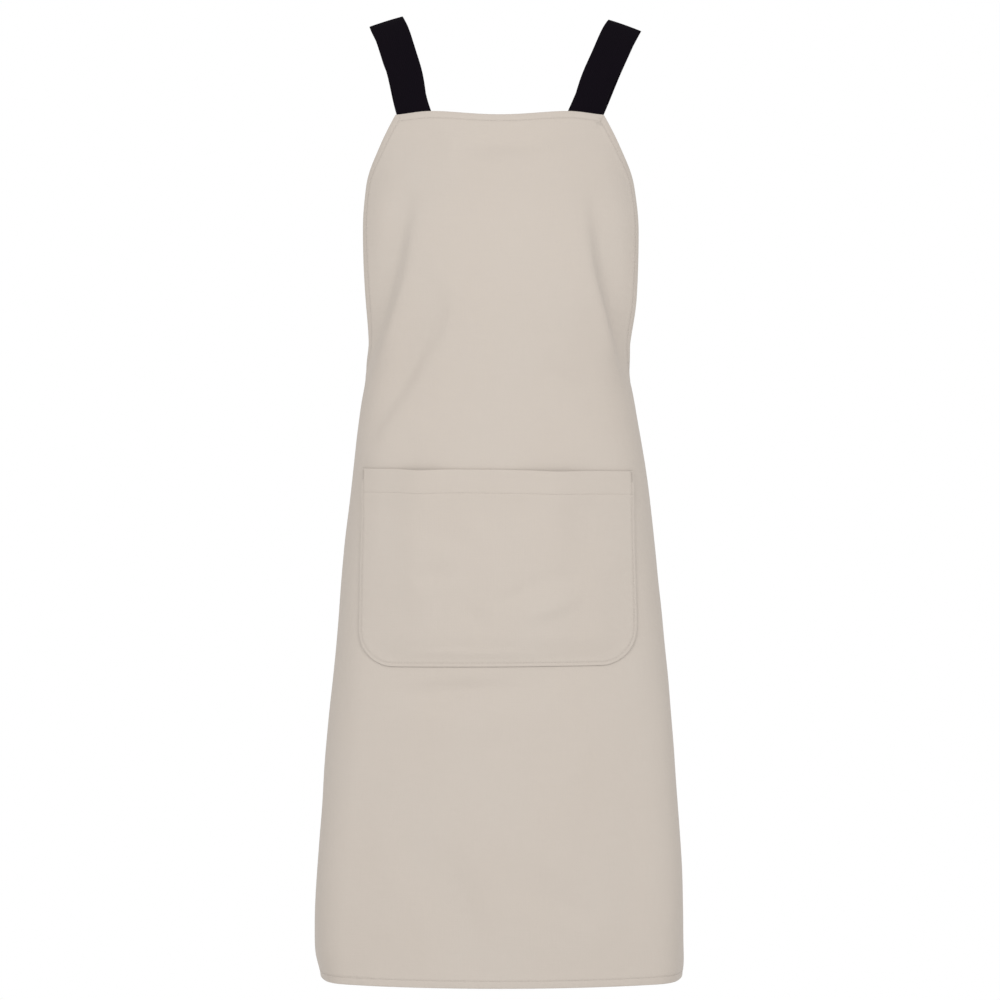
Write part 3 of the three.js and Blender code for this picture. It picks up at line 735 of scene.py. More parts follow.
def band_layers():
    """Cross section of a turned hem: distances in from the edge, and drops of its two faces."""
    angle = np.radians(BAND_ANGLES)
    outer = ROLL - ROLL_INSIDE * np.sin(angle)
    inner = ROLL - ROLL * np.sin(angle)
    outer_drop = ROLL - ROLL_INSIDE * np.cos(angle)
    inner_drop = ROLL - ROLL * np.cos(angle)
    steps, pinch = np.array(BAND_STEPS), np.array(BAND_PINCH)
    return (
        (np.concatenate([outer, steps]), np.concatenate([outer_drop, pinch - HEM_OUTER])),
        (np.concatenate([inner, steps]), np.concatenate([inner_drop, -HEM_INNER - pinch])),
    )


def edge_hem(name, side, first, last, count, material):
    """A turned hem along part of an edge, from a first to a last share of the way down."""
    gap = SEAM_GAP / APRON_DROP
    way = np.linspace(first + gap, last - gap, count + 1)
    layers = []
    for inset, drop in band_layers():
        inset, drop = (inset[::-1], drop[::-1]) if side > 0 else (inset, drop)
        places = edge_place(way[:, None], inset[None, :]) * (side, 1)
        layers.append((places, np.broadcast_to(drop, places.shape[:2])))
    return sheet_from_places(name, layers, dressed, from_edge, material)


def level_hem(name, at_top, count, material):
    """A turned hem along the top or bottom edge, between the hems at its two ends."""
    shares = np.linspace(-1, 1, count + 1)
    layers = []
    for inset, drop in band_layers():
        if at_top:
            t = inset
        else:
            t, drop = APRON_DROP - inset[::-1], drop[::-1]
        reach = np.interp(t, INSET_LINE[:, 1], INSET_LINE[:, 0]) - SEAM_GAP
        s = reach[:, None] * shares
        places = np.stack([s, np.broadcast_to(t[:, None], s.shape)], axis=-1)
        layers.append((places, np.broadcast_to(drop[:, None], s.shape)))
    return sheet_from_places(name, layers, dressed, from_edge, material)


def gape(share):
    """How far the pocket's mouth gapes from side to side: two soft bulges, closed at the seams."""
    total = np.full(np.shape(share), BULGE_LEAST)
    for middle, width, height in BULGES:
        total += height * groove(share - middle, width)
    return (1 - share**4) * total


def pocket_place(across, down):
    """The place on the apron laid flat of a place on the pocket, from its middle and its mouth."""
    share = np.clip(down / POCKET_DEPTH, 0, 1)
    tilt = mix(MOUTH_TILT, FOOT_TILT, share) * across / POCKET_WIDTH
    dip = MOUTH_DIP * gape(across / (POCKET_WIDTH / 2)) * (1 - share) ** 2
    return across + POCKET_SHIFT, POCKET_TOP + down + tilt + dip


def pocket_lift(across, down):
    """Clearance between the apron and the inner face of the pocket."""
    depth = np.clip(down / POCKET_DEPTH, 0, 1)
    hem_lift = (CLOTH + SEAM_GAP) * (1 - smooth(POCKET_HEM, POCKET_HEM * 2, down))
    share = np.clip(across / (POCKET_WIDTH / 2), -1, 1)
    bulge = gape(share) * (1 - depth**2)
    billow = (1 - share**4) * smooth(*BILLOW_RISE, depth) * (1 - smooth(*BILLOW_FALL, depth))
    return POCKET_SEAM_GAP + hem_lift + POCKET_SLACK * bulge + POCKET_BILLOW * billow


def pocket_outline(inset):
    """The pocket's sides and bottom, a distance in from its seam, from the mouth's left end on."""
    straight = POCKET_DEPTH - POCKET_CORNER
    half = POCKET_WIDTH / 2 - inset
    angle = np.radians(np.linspace(0, 90, POCKET_OUTLINE_POINTS))
    x = half - (POCKET_CORNER - inset) * (1 - np.cos(angle))
    y = straight + (POCKET_CORNER - inset) * np.sin(angle)
    right = np.stack([np.append(half, x), np.append(0, y)], axis=1)
    return np.concatenate([right * (-1, 1), right[::-1]])


from_pocket_edge = edge_finder([dense(pocket_outline(0), 0.15)])


def on_pocket(across, down, lift):
    """A point at a height over the outer face of the dressed pocket."""
    sizes = bpy.context.scene.apron_cotton
    distance, _ = from_pocket_edge(across, down)
    calm = smooth(0, POCKET_CALM, distance) * smooth(0, MOUTH_CALM, down)
    uneven = ripple(across, down, *POCKET_WAVES, sizes.unevenness * POCKET_UNEVENNESS)
    creases = crease_push(across, down, POCKET_CREASES)
    stitch = groove(distance - sizes.pocket_stitch_inset, POCKET_SINK_WIDTH)
    mouth_stitch = groove(down - POCKET_HEM, MOUTH_SINK_WIDTH)
    welt = WELT_RISE * (1 - smooth(*WELT_FADE, distance))
    relief = calm * (creases + uneven) + welt - STITCH_SINK * stitch - MOUTH_SINK * mouth_stitch
    s, t = pocket_place(across, down)
    from_cut, _ = from_edge(s, t)
    under = cloth_relief(s, t, from_cut)
    return on_cloth(s, t, pocket_lift(across, down) + CLOTH + under + relief + lift)


def edge_drop(distance, radius):
    """How far a rounded edge of a radius lies below the face of the cloth."""
    into = np.clip(radius - distance, 0, radius)
    return radius - np.sqrt(radius**2 - into**2)


def pocket_grid(columns):
    """Places of the pocket laid flat. Its rows end on its outline, drawn in at the corners."""
    straight = POCKET_DEPTH - POCKET_CORNER
    turn = np.radians(np.linspace(0, 90, POCKET_CORNER_ROWS + 1))[1:]
    drops = straight + POCKET_CORNER * np.sin(turn)
    middle_rows = np.linspace(POCKET_MIDDLE_START, straight, POCKET_ROWS)
    downs = np.concatenate([MOUTH_STEPS, middle_rows, drops])
    reach = np.full(len(downs), POCKET_WIDTH / 2)
    reach[-len(turn) :] -= POCKET_CORNER * (1 - np.cos(turn))
    ends = np.array(POCKET_END_STEPS)
    shares = np.linspace(-1, 1, columns + 1)[1:-1]
    left = ends[None, :] - reach[:, None]
    middle = (reach - ends[-1])[:, None] * shares
    across = np.concatenate([left, middle, -left[:, ::-1]], axis=1)
    return np.stack([across, np.broadcast_to(downs[:, None], across.shape)], axis=-1)


def pocket_sheet(name, places, outer_drop, inner_drop, material):
    """A closed sheet on the pocket's form, from its flat places and the drops of its faces."""
    across, down = places[..., 0], places[..., 1]
    outer = on_pocket(across, down, -outer_drop)
    inner = on_pocket(across, down, -inner_drop)
    distance, length = from_pocket_edge(across, down)
    laid = np.stack(pocket_place(across, down), axis=-1)
    seam = np.stack([distance, length], axis=-1)
    return grid_object(name, outer, inner, laid, seam, material)


def centripetal_line(points, steps):
    """A smooth line through points, with steps to each span."""
    points = np.array(points, float)
    whole = np.vstack([2 * points[0] - points[1], points, 2 * points[-1] - points[-2]])
    u = np.linspace(0, 1, steps + 1)[:, None]
    spans = []
    for p0, p1, p2, p3 in zip(whole, whole[1:], whole[2:], whole[3:]):
        d0, d1, d2 = (math.sqrt(np.linalg.norm(b - a)) for a, b in ((p0, p1), (p1, p2), (p2, p3)))
        m1 = d1 * ((p1 - p0) / d0 - (p2 - p0) / (d0 + d1) + (p2 - p1) / d1)
        m2 = d1 * ((p2 - p1) / d1 - (p3 - p1) / (d1 + d2) + (p3 - p2) / d2)
        bend = (2 * p1 - 2 * p2 + m1 + m2) * u**3 + (-3 * p1 + 3 * p2 - 2 * m1 - m2) * u**2
        spans.append(p1 + m1 * u + bend)
    return np.vstack([spans[0], *(span[1:] for span in spans[1:])])


SHOULDER_ARC = BODY_ROUND * math.asin(SHOULDER_OUT / BODY_ROUND)


def drop_at(across):
    """How far the round body lies below its side view, at a way across from the middle."""
    return BODY_ROUND * (math.cos(SHOULDER_ARC / BODY_ROUND) - np.cos(across / BODY_ROUND))


class Strap:
    """One strap. Laid flat, run goes from zero at the bib's top edge to the cloth's back corner."""

    def __init__(self, side, extra, over):
        self.side, self.over = side, over
        self.cloth_lift = HEM_INNER - STRAP_SEAM_GAP
        self.start = HALF_BIB - STRAP_WIDTH / 2
        self.end = HALF_PANEL - CORNER_INSET
        bib = self.cloth_place(side * self.start, 0)
        corner = self.cloth_place(-side * self.end, ARMHOLE_DEPTH)
        self.first = BODY_ROUND * math.asin(side * bib[0] / BODY_ROUND)
        self.last = BODY_ROUND * math.asin(side * corner[0] / BODY_ROUND)
        front_y = bib[1] - drop_at(self.first)
        rows = [(front_y, bib[2], self.first)]
        halves = ((SHOULDER_FRONT, front_y, -BIB_TOP), (SHOULDER_BACK, BACK_DEPTH, corner[2]))
        for table, deep, high in halves:
            for y, z, across, lean in table:
                out = across * SHOULDER_ARC * (1 + extra * lean)
                rows.append((y * deep, z * high, out))
        rows.append((corner[1] + drop_at(self.last), corner[2], self.last))
        steps = 100
        self.profile = centripetal_line([row[:2] for row in rows], steps)
        self.lengths = polyline_lengths(self.profile)
        self.length = self.lengths[-1]
        runs = self.lengths[::steps]
        self.middle = Curve(runs, [row[2] for row in rows])
        self.corner_slope = self.middle(self.length + 1) - self.middle(self.length)
        self.crossing = next(run for run, row in zip(runs, rows) if row[2] == 0)

    def cloth_place(self, s, t):
        """Where the tape's outer face lies under the hem at a place of the cloth."""
        return on_cloth(np.array([s]), np.array([t], float), self.cloth_lift)[0]

    def surface(self, across, run):
        """A point of the strap's form. It follows the cloth at both ends and is free between."""
        side = self.side
        inside = np.clip(run, 0, self.length)
        place = along_line(self.profile, self.lengths, inside)
        ahead = along_line(self.profile, self.lengths, np.minimum(inside + STEP, self.length))
        behind = along_line(self.profile, self.lengths, np.maximum(inside - STEP, 0))
        tangent = (ahead - behind) / np.linalg.norm(ahead - behind, axis=-1, keepdims=True)
        drop = drop_at(across)
        point = np.stack(
            [
                side * BODY_ROUND * np.sin(across / BODY_ROUND),
                place[..., 0] + tangent[..., 1] * drop,
                place[..., 1] - tangent[..., 0] * drop,
            ],
            axis=-1,
        )
        near = np.minimum(run, HEM + BIB_FADE)
        front = on_cloth(side * (self.start + across - self.first), -near, self.cloth_lift)
        far = np.maximum(run - self.length, -HEM - CORNER_FADE)
        held = np.maximum(far, -HEM)
        s = -side * (self.end + across - self.last - self.corner_slope * (far - held))
        t = ARMHOLE_DEPTH + held
        back = on_cloth(s, t, self.cloth_lift)
        below = on_cloth(s - side * self.corner_slope, t + 1, self.cloth_lift)
        back = back + (far - held)[..., None] * (below - back)
        point = mix(point, front, 1 - smooth(HEM, HEM + BIB_FADE, run)[..., None])
        return mix(point, back, 1 - smooth(HEM, HEM + CORNER_FADE, self.length - run)[..., None])

    def at(self, offset, run, lift):
        """A point at a height over the tape's outer face, offset sideways from its middle line."""
        slope = (self.middle(run + 1) - self.middle(run - 1)) / 2
        flat = np.hypot(1, slope)
        level = 1 - smooth(0, BIB_FADE, run)
        across = self.middle(run) + offset * (1 + level * slope**2) / flat
        place = run - offset * slope * (1 - level) / flat
        normal = -self.side * facing(self.surface, across, place)
        apart = np.hypot(across, place - self.crossing)
        share = 1 - smooth(CROSSING_HOLD, CROSSING_FADE, apart)
        height = (TAPE + CROSSING_GAP) / 2 * self.over * share + lift
        return self.surface(across, place) + normal * height[..., None]


# Name, side, how much farther out it rests, and whether it lies over or under the other
STRAPS = (("left", -1, 0.0, 1), ("right", 1, 0.1, -1))


def make_straps():
    return {name: Strap(side, extra, over) for name, side, extra, over in STRAPS}


def strap_sheet(name, strap, material):
    """The tape of one strap, with rounded woven edges."""
    sizes = bpy.context.scene.apron_tape
    half = STRAP_WIDTH / 2
    flat_steps = np.linspace(STRAP_FLAT_START, half, STRAP_FLAT_COLUMNS)
    inset = np.concatenate([STRAP_EDGE_STEPS, flat_steps])
    offset = np.concatenate([half - inset, -half + inset[-2::-1]]) * strap.side
    tuck = np.linspace(-STRAP_TUCK, 0, STRAP_TUCK_ROWS + 1)[:-1]
    free_runs = np.linspace(0, strap.length, STRAP_ROWS)
    runs = np.concatenate([tuck, free_runs, strap.length - tuck[::-1]])
    offset, run = np.meshgrid(offset, runs)
    rounded = np.clip((STRAP_EDGE_ROUND - (half - np.abs(offset))) / STRAP_EDGE_ROUND, 0, 1)
    full = np.sqrt(1 - rounded**2)
    thick = TAPE / 2 * (STRAP_EDGE_THIN + (1 - STRAP_EDGE_THIN) * full)
    free = smooth(*STRAP_CALM, run) * smooth(*STRAP_CALM, strap.length - run)
    apart = np.hypot(strap.middle(run), run - strap.crossing)
    free = free * smooth(CROSSING_HOLD, CROSSING_FADE, apart)
    seed = STRAP_SEED + strap.over
    wave = free * ripple(offset * STRAP_WAVE_ACROSS, run, seed, *STRAP_WAVES, sizes.unevenness)
    outer = strap.at(offset, run, wave - TAPE / 2 + thick)
    inner = strap.at(offset, run, wave - TAPE / 2 - thick)
    laid = np.stack([offset, run], axis=-1)
    seam = np.stack([half - np.abs(offset), run], axis=-1)
    return grid_object(name, outer, inner, laid, seam, material)


def thread_object(name, points, normals, radius, material):
    """Short lengths of thread as tubes. Each has a row of points and one normal."""
    count, rings = points.shape[:2]
    tangent = np.gradient(points, axis=1)
    tangent /= np.linalg.norm(tangent, axis=-1, keepdims=True)
    side = np.cross(tangent, normals[:, None])
    side /= np.linalg.norm(side, axis=-1, keepdims=True)
    up = np.cross(side, tangent)
    angle = np.arange(THREAD_SIDES) * 2 * np.pi / THREAD_SIDES
    ring = side[..., None, :] * np.cos(angle)[:, None] + up[..., None, :] * np.sin(angle)[:, None]
    swell = np.full(rings, 1.0)
    swell[[0, -1]] = THREAD_END
    tubes = points[..., None, :] + ring * (radius * swell)[:, None, None]
    place = np.arange(count * rings * THREAD_SIDES).reshape(count, rings, THREAD_SIDES)
    after = np.roll(place, -1, axis=2)
    walls = np.stack([place[:, :-1], after[:, :-1], after[:, 1:], place[:, 1:]], axis=-1)
    faces = walls.reshape(-1, 4).tolist()
    faces += place[:, 0, ::-1].tolist() + place[:, -1].tolist()
    mesh = bpy.data.meshes.new(name)
    mesh.from_pydata((tubes.reshape(-1, 3) * MM).tolist(), [], faces)
    mesh.shade_smooth()
    mesh.materials.append(material)
    return add_piece(name, mesh)


class Stitches:
    """Collects stitches on several surfaces, and makes them into one piece."""

    def __init__(self, radius):
        self.radius = radius
        self.points = []
        self.normals = []

    def run(self, surface, line, height, pitch, length):
        """Stitches one after the other along a line laid flat."""
        lengths = polyline_lengths(line)
        count = int(lengths[-1] / pitch)
        start = (np.arange(count) + 0.5) * lengths[-1] / count - length / 2
        places = along_line(line, lengths, start[:, None] + STITCH_SHARES * length)
        self.add(surface, places, height)

    def add(self, surface, places, height):
        """Stitches with a row of flat places each. They rise from the cloth in the middle."""
        way = 1 if height >= 0 else -1
        rise = height + way * STITCH_RISES * self.radius
        rise = np.broadcast_to(rise, places.shape[:2])
        self.points.append(surface(places[..., 0], places[..., 1], rise))
        middle = places[:, 1:2]
        low = surface(middle[..., 0], middle[..., 1], np.zeros(middle.shape[:2]))
        high = surface(middle[..., 0], middle[..., 1], np.ones(middle.shape[:2]))
        normal = (high - low)[:, 0]
        self.normals.append(way * normal / np.linalg.norm(normal, axis=-1, keepdims=True))

    def make(self, name, material, slot):
        points, normals = np.concatenate(self.points), np.concatenate(self.normals)
        return thread_object(name, points, normals, self.radius, material)


def hem_stitch_lines(inset):
    """The stitch lines of the apron's hems laid flat, a distance in from its edges."""
    way = np.linspace(HEM_STITCH_START, 1 - inset / APRON_DROP, HEM_STITCH_POINTS)
    right = edge_place(way, inset)
    top_reach = np.interp(inset, INSET_LINE[:, 1], INSET_LINE[:, 0])
    reach = HALF_PANEL - inset
    return [
        right,
        right * (-1, 1),
        np.array([(-top_reach, inset), (top_reach, inset)]),
        np.array([(-reach, APRON_DROP - inset), (reach, APRON_DROP - inset)]),
    ]


def straight_row(x0, y0, x1, y1):
    """One stitch between two flat places."""
    start, end = np.array([x0, y0]), np.array([x1, y1])
    return start + (end - start) * STITCH_SHARES[:, None]


def bar_tack(across):
    """Flat places of the close stitches of a bar tack, with its middle at a place on the mouth."""
    left, right = across - TACK_WIDTH / 2, across + TACK_WIDTH / 2
    rows = []
    for k, down in enumerate(np.arange(TACK_TOP, TACK_TOP + TACK_HEIGHT, TACK_PITCH)):
        lean = TACK_LEAN if k % 2 else -TACK_LEAN
        rows.append(straight_row(left, down - lean, right, down + lean))
    return np.array(rows)


class Graph:
    """Shader nodes of one material, made one after the other."""

    def __init__(self, name):
        self.material = bpy.data.materials.new(name)
        self.material.use_nodes = True
        self.nodes = self.material.node_tree.nodes
        self.links = self.material.node_tree.links
        self.shader = self.nodes["Principled BSDF"]

    def node(self, kind, **settings):
        made = self.nodes.new(kind)
        for key, value in settings.items():
            setattr(made, key, value)
        return made

    def feed(self, socket, value):
        if isinstance(value, bpy.types.NodeSocket):
            self.links.new(value, socket)
        else:
            socket.default_value = value

    def math(self, operation, *values):
        made = self.node("ShaderNodeMath", operation=operation)
        for socket, value in zip(made.inputs, values):
            self.feed(socket, value)
        return made.outputs[0]

    def coordinate(self, layer):
        return self.node("ShaderNodeUVMap", uv_map=layer).outputs["UV"]

    def parts(self, vector):
        made = self.node("ShaderNodeSeparateXYZ")
        self.feed(made.inputs[0], vector)
        return made.outputs[0], made.outputs[1]

    def noise(self, vector, scale, stretch=(1, 1, 1), detail=2.0, roughness=0.5):
        mapping = self.node("ShaderNodeMapping")
        self.feed(mapping.inputs["Vector"], vector)
        mapping.inputs["Scale"].default_value = stretch
        made = self.node("ShaderNodeTexNoise")
        self.feed(made.inputs["Vector"], mapping.outputs[0])
        made.inputs["Scale"].default_value = scale
        made.inputs["Detail"].default_value = detail
        made.inputs["Roughness"].default_value = roughness
        return made.outputs["Fac"]

    def ramp(self, factor, low, high):
        """A number that goes from low to high as factor goes from 0 to 1."""
        made = self.node("ShaderNodeMapRange")
        self.feed(made.inputs["Value"], factor)
        made.inputs["To Min"].default_value = low
        made.inputs["To Max"].default_value = high
        return made.outputs[0]

    def tint(self, colour, share):
        """A colour made lighter or darker by a share."""
        made = self.node("ShaderNodeVectorMath", operation="SCALE")
        self.feed(made.inputs[0], colour)
        self.feed(made.inputs["Scale"], share)
        return made.outputs[0]

    def blend(self, share, first, second):
        made = self.node("ShaderNodeMix", data_type="RGBA")
        self.feed(made.inputs[0], share)
        self.feed(made.inputs[6], first)
        self.feed(made.inputs[7], second)
        return made.outputs[2]

    def bump(self, height, distance, strength, before=None):
        made = self.node("ShaderNodeBump")
        made.inputs["Distance"].default_value = distance
        made.inputs["Strength"].default_value = strength
        self.feed(made.inputs["Height"], height)
        if before is not None:
            self.feed(made.inputs["Normal"], before)
        return made.outputs[0]

    def ridge(self, place, middle, width):
        """A number that is 1 at a place, and falls to 0 over a width."""
        off = self.math("DIVIDE", self.math("SUBTRACT", place, middle), width)
        return self.math("EXPONENT", self.math("MULTIPLY", self.math("MULTIPLY", off, off), -1.0))


def sewn_cotton(name, colour, stitch_inset, stitch_painted_shade):
    """Plain woven cotton with thick and thin threads, and a drawn-in stitch line along its edge, darkened
    with painted shade.
    """
    sizes = bpy.context.scene.apron_cotton
    graph = Graph(name)
    laid = graph.coordinate("laid_flat")
    seam = graph.coordinate("seam")
    warp, weft = graph.parts(laid)
    count = math.pi / (sizes.weave_pitch * MM)
    warp_wave = graph.math("SINE", graph.math("MULTIPLY", warp, count))
    weft_wave = graph.math("SINE", graph.math("MULTIPLY", weft, count))
    checks = graph.math("MULTIPLY", warp_wave, weft_wave)
    weave = graph.math("MULTIPLY_ADD", checks, 0.5, 0.5)
    warp_slub = graph.noise(laid, 1.0, (1500, 34, 1), 3.0, 0.6)
    weft_slub = graph.noise(laid, 1.0, (30, 1300, 1), 3.0, 0.6)
    slubs = graph.math("MULTIPLY", graph.math("ADD", warp_slub, weft_slub), 0.5)
    cloudy = graph.noise(laid, 9.0, (1, 0.6, 1), 3.0, 0.5)
    from_edge_m, _ = graph.parts(seam)
    stitch_line = graph.ridge(from_edge_m, stitch_inset * MM, STITCH_SHADE_WIDTH * MM)
    near_seam = graph.ridge(from_edge_m, stitch_inset * MM, PUCKER_WIDTH * MM)
    pucker = graph.noise(seam, 1.0, (40, 130, 1), 2.0, 0.5)
    pull = graph.math("MULTIPLY", pucker, near_seam)

    # the slubs are the cotton's own tone; the weave's share is painted shade, darker in the gaps between
    # threads
    threads = (graph.ramp(slubs, *SLUB_SHADE), graph.ramp(weave, *WEAVE_GAP_PAINTED_SHADE))
    shade = graph.math("MULTIPLY", *threads)
    shade = graph.math("MULTIPLY", shade, graph.ramp(cloudy, *CLOUD_SHADE))
    # painted shade: the cloth is darkened along the stitch line, where its groove lies in shade
    shade = graph.math("MULTIPLY", shade, graph.ramp(stitch_line, 1.0, 1.0 - stitch_painted_shade))
    warm = tuple(c * f for c, f in zip(colour, WARM_PATCH))
    cool = tuple(c * f for c, f in zip(colour, COOL_PATCH))
    base = graph.blend(graph.ramp(cloudy, 0.1, 0.9), (*warm, 1), (*cool, 1))
    graph.feed(graph.shader.inputs["Base Color"], graph.tint(base, shade))
    graph.feed(graph.shader.inputs["Roughness"], graph.ramp(slubs, *COTTON_ROUGHNESS))
    graph.shader.inputs["Specular IOR Level"].default_value = 0.22
    graph.shader.inputs["Sheen Weight"].default_value = 0.12
    graph.shader.inputs["Sheen Roughness"].default_value = 0.45
    normal = graph.bump(weave, *WEAVE_BUMP)
    normal = graph.bump(slubs, *SLUB_BUMP, normal)
    normal = graph.bump(pull, *PUCKER_BUMP, normal)
    graph.feed(graph.shader.inputs["Normal"], normal)
    return graph.material


def ribbed_tape():
    """Black woven tape with fine ribs along it."""
    sizes = bpy.context.scene.apron_tape
    graph = Graph("ribbed_tape")
    laid = graph.coordinate("laid_flat")
    seam = graph.coordinate("seam")
    offset, run = graph.parts(laid)
    ribs = graph.math("SINE", graph.math("MULTIPLY", offset, 2 * math.pi / (sizes.rib_pitch * MM)))
    picks = graph.math("SINE", graph.math("MULTIPLY", run, 2 * math.pi / (sizes.pick_pitch * MM)))
    height = graph.math("MULTIPLY_ADD", picks, PICK_HEIGHT, ribs)
    wear = graph.noise(laid, 1.0, (900, 60, 1), 3.0, 0.6)
    dusty = graph.noise(laid, 22.0, (1, 0.7, 1), 3.0, 0.55)
    edge_m, _ = graph.parts(seam)
    selvedge = graph.ridge(edge_m, SELVEDGE_MIDDLE * MM, SELVEDGE_WIDTH * MM)
    threads = (graph.ramp(ribs, *RIB_SHADE), graph.ramp(wear, *WEAR_SHADE))
    shade = graph.math("MULTIPLY", *threads)
    shade = graph.math("MULTIPLY", shade, graph.ramp(selvedge, *SELVEDGE_SHADE))
    black = tuple(sizes.colour)
    brown = tuple(c * f for c, f in zip(black, BROWN_PATCH))
    base = graph.blend(graph.ramp(dusty, 0.0, 0.7), (*black, 1), (*brown, 1))
    graph.feed(graph.shader.inputs["Base Color"], graph.tint(base, shade))
    graph.feed(graph.shader.inputs["Roughness"], graph.ramp(wear, *TAPE_ROUGHNESS))
    graph.shader.inputs["Specular IOR Level"].default_value = 0.02
    graph.shader.inputs["Sheen Weight"].default_value = 0.003
    graph.shader.inputs["Sheen Roughness"].default_value = 0.5
    normal = graph.bump(height, *RIB_BUMP)
    normal = graph.bump(wear, *WEAR_BUMP, normal)
    graph.feed(graph.shader.inputs["Normal"], normal)
    return graph.material


def spun_thread(name, colour):
    """Sewing thread, lighter and darker along its length."""
    graph = Graph(name)
    place = graph.node("ShaderNodeTexCoord").outputs["Object"]
    fibres = graph.noise(place, 900.0, (1, 1, 1), 2.0, 0.6)
    base = graph.tint(colour, graph.ramp(fibres, *FIBRE_SHADE))
    graph.feed(graph.shader.inputs["Base Color"], base)
    graph.shader.inputs["Roughness"].default_value = 0.7
    graph.shader.inputs["Sheen Weight"].default_value = 0.1
    graph.feed(graph.shader.inputs["Normal"], graph.bump(fibres, *FIBRE_BUMP))
    return graph.material


class CottonSettings(bpy.types.PropertyGroup):
    """Sizes and colours of the cotton cloth and its sewing."""

    colour: bpy.props.FloatVectorProperty(
        name="Cotton",
        description="Colour of the cotton cloth",
        subtype="COLOR",
        default=(0.431, 0.385, 0.342),
        min=0,
        max=1,
    )
    unevenness: bpy.props.FloatProperty(
        name="Unevenness",
        description="Height of the soft waves of the hanging cloth, in millimetres",
        default=0.75,
        min=0,
        max=3,
    )
    weave_pitch: bpy.props.FloatProperty(
        name="Weave pitch",
        description="From one thread to the next, in millimetres",
        default=0.62,
        min=0.2,
        max=2,
    )
    stitch_inset: bpy.props.FloatProperty(
        name="Hem stitch inset",
        description="From the edge of the cloth to the stitch line of its hem, in millimetres",
        default=7.5,
        min=3,
        max=9,
    )
    pocket_stitch_inset: bpy.props.FloatProperty(
        name="Pocket stitch inset",
        description="From the pocket's seam to its stitch line, in millimetres",
        default=4.0,
        min=2,
        max=8,
    )
    stitch_pitch: bpy.props.FloatProperty(
        name="Stitch pitch",
        description="From one stitch to the next, in millimetres",
        default=3.2,
        min=2,
        max=6,
    )
    stitch_length: bpy.props.FloatProperty(
        name="Stitch length",
        description="Length of the thread that shows in one stitch, in millimetres",
        default=2.5,
        min=1,
        max=5,
    )
    thread_radius: bpy.props.FloatProperty(
        name="Thread radius",
        description="Radius of the sewing thread, in millimetres",
        default=0.27,
        min=0.1,
        max=0.6,
    )


class TapeSettings(bpy.types.PropertyGroup):
    """Sizes and colour of the strap tape."""

    colour: bpy.props.FloatVectorProperty(
        name="Tape",
        description="Colour of the strap tape",
        subtype="COLOR",
        default=(0.0036, 0.0028, 0.0048),
        min=0,
        max=1,
    )
    unevenness: bpy.props.FloatProperty(
        name="Unevenness",
        description="Height of the soft waves along the tape, in millimetres",
        default=0.5,
        min=0,
        max=3,
    )
    rib_pitch: bpy.props.FloatProperty(
        name="Rib pitch",
        description="From one rib of the tape to the next, in millimetres",
        default=1.9,
        min=0.5,
        max=5,
    )
    pick_pitch: bpy.props.FloatProperty(
        name="Pick pitch",
        description="From one crosswise thread to the next, in millimetres",
        default=0.7,
        min=0.3,
        max=3,
    )


class StageSettings(bpy.types.PropertyGroup):
    """The floor, light and camera, in metres."""

    distance: bpy.props.FloatProperty(
        name="Camera distance",
        description="From the camera to the shoulder line",
        default=3.4,
        unit="LENGTH",
    )
    height: bpy.props.FloatProperty(
        name="Camera height",
        description="Height of the camera over the shoulder line",
        default=-0.504,
        unit="LENGTH",
    )
    lens: bpy.props.FloatProperty(
        name="Lens",
        description="Focal length of the camera, in millimetres",
        default=116.28,
    )
    floor_drop: bpy.props.FloatProperty(
        name="Floor",
        description="From the shoulder line down to the floor",
        default=1.45,
        unit="LENGTH",
    )
    daylight: bpy.props.FloatProperty(
        name="Daylight",
        description="Brightness of the even light from all round",
        default=1.0,
    )
    ceiling: bpy.props.FloatProperty(
        name="Ceiling",
        description="Brightness of the light from overhead and below",
        default=0.7,
    )
    window: bpy.props.FloatProperty(
        name="Window light",
        description="Power of the large soft light in front, in watts",
        default=43.0,
    )


def turn_to(obj, target):
    """Turn a lamp so that it shines at a place."""
    way = np.array(target) - np.array(obj.location)
    flat = math.hypot(way[0], way[1])
    obj.rotation_euler = (math.atan2(flat, -way[2]), 0, math.atan2(way[1], way[0]) - math.pi / 2)


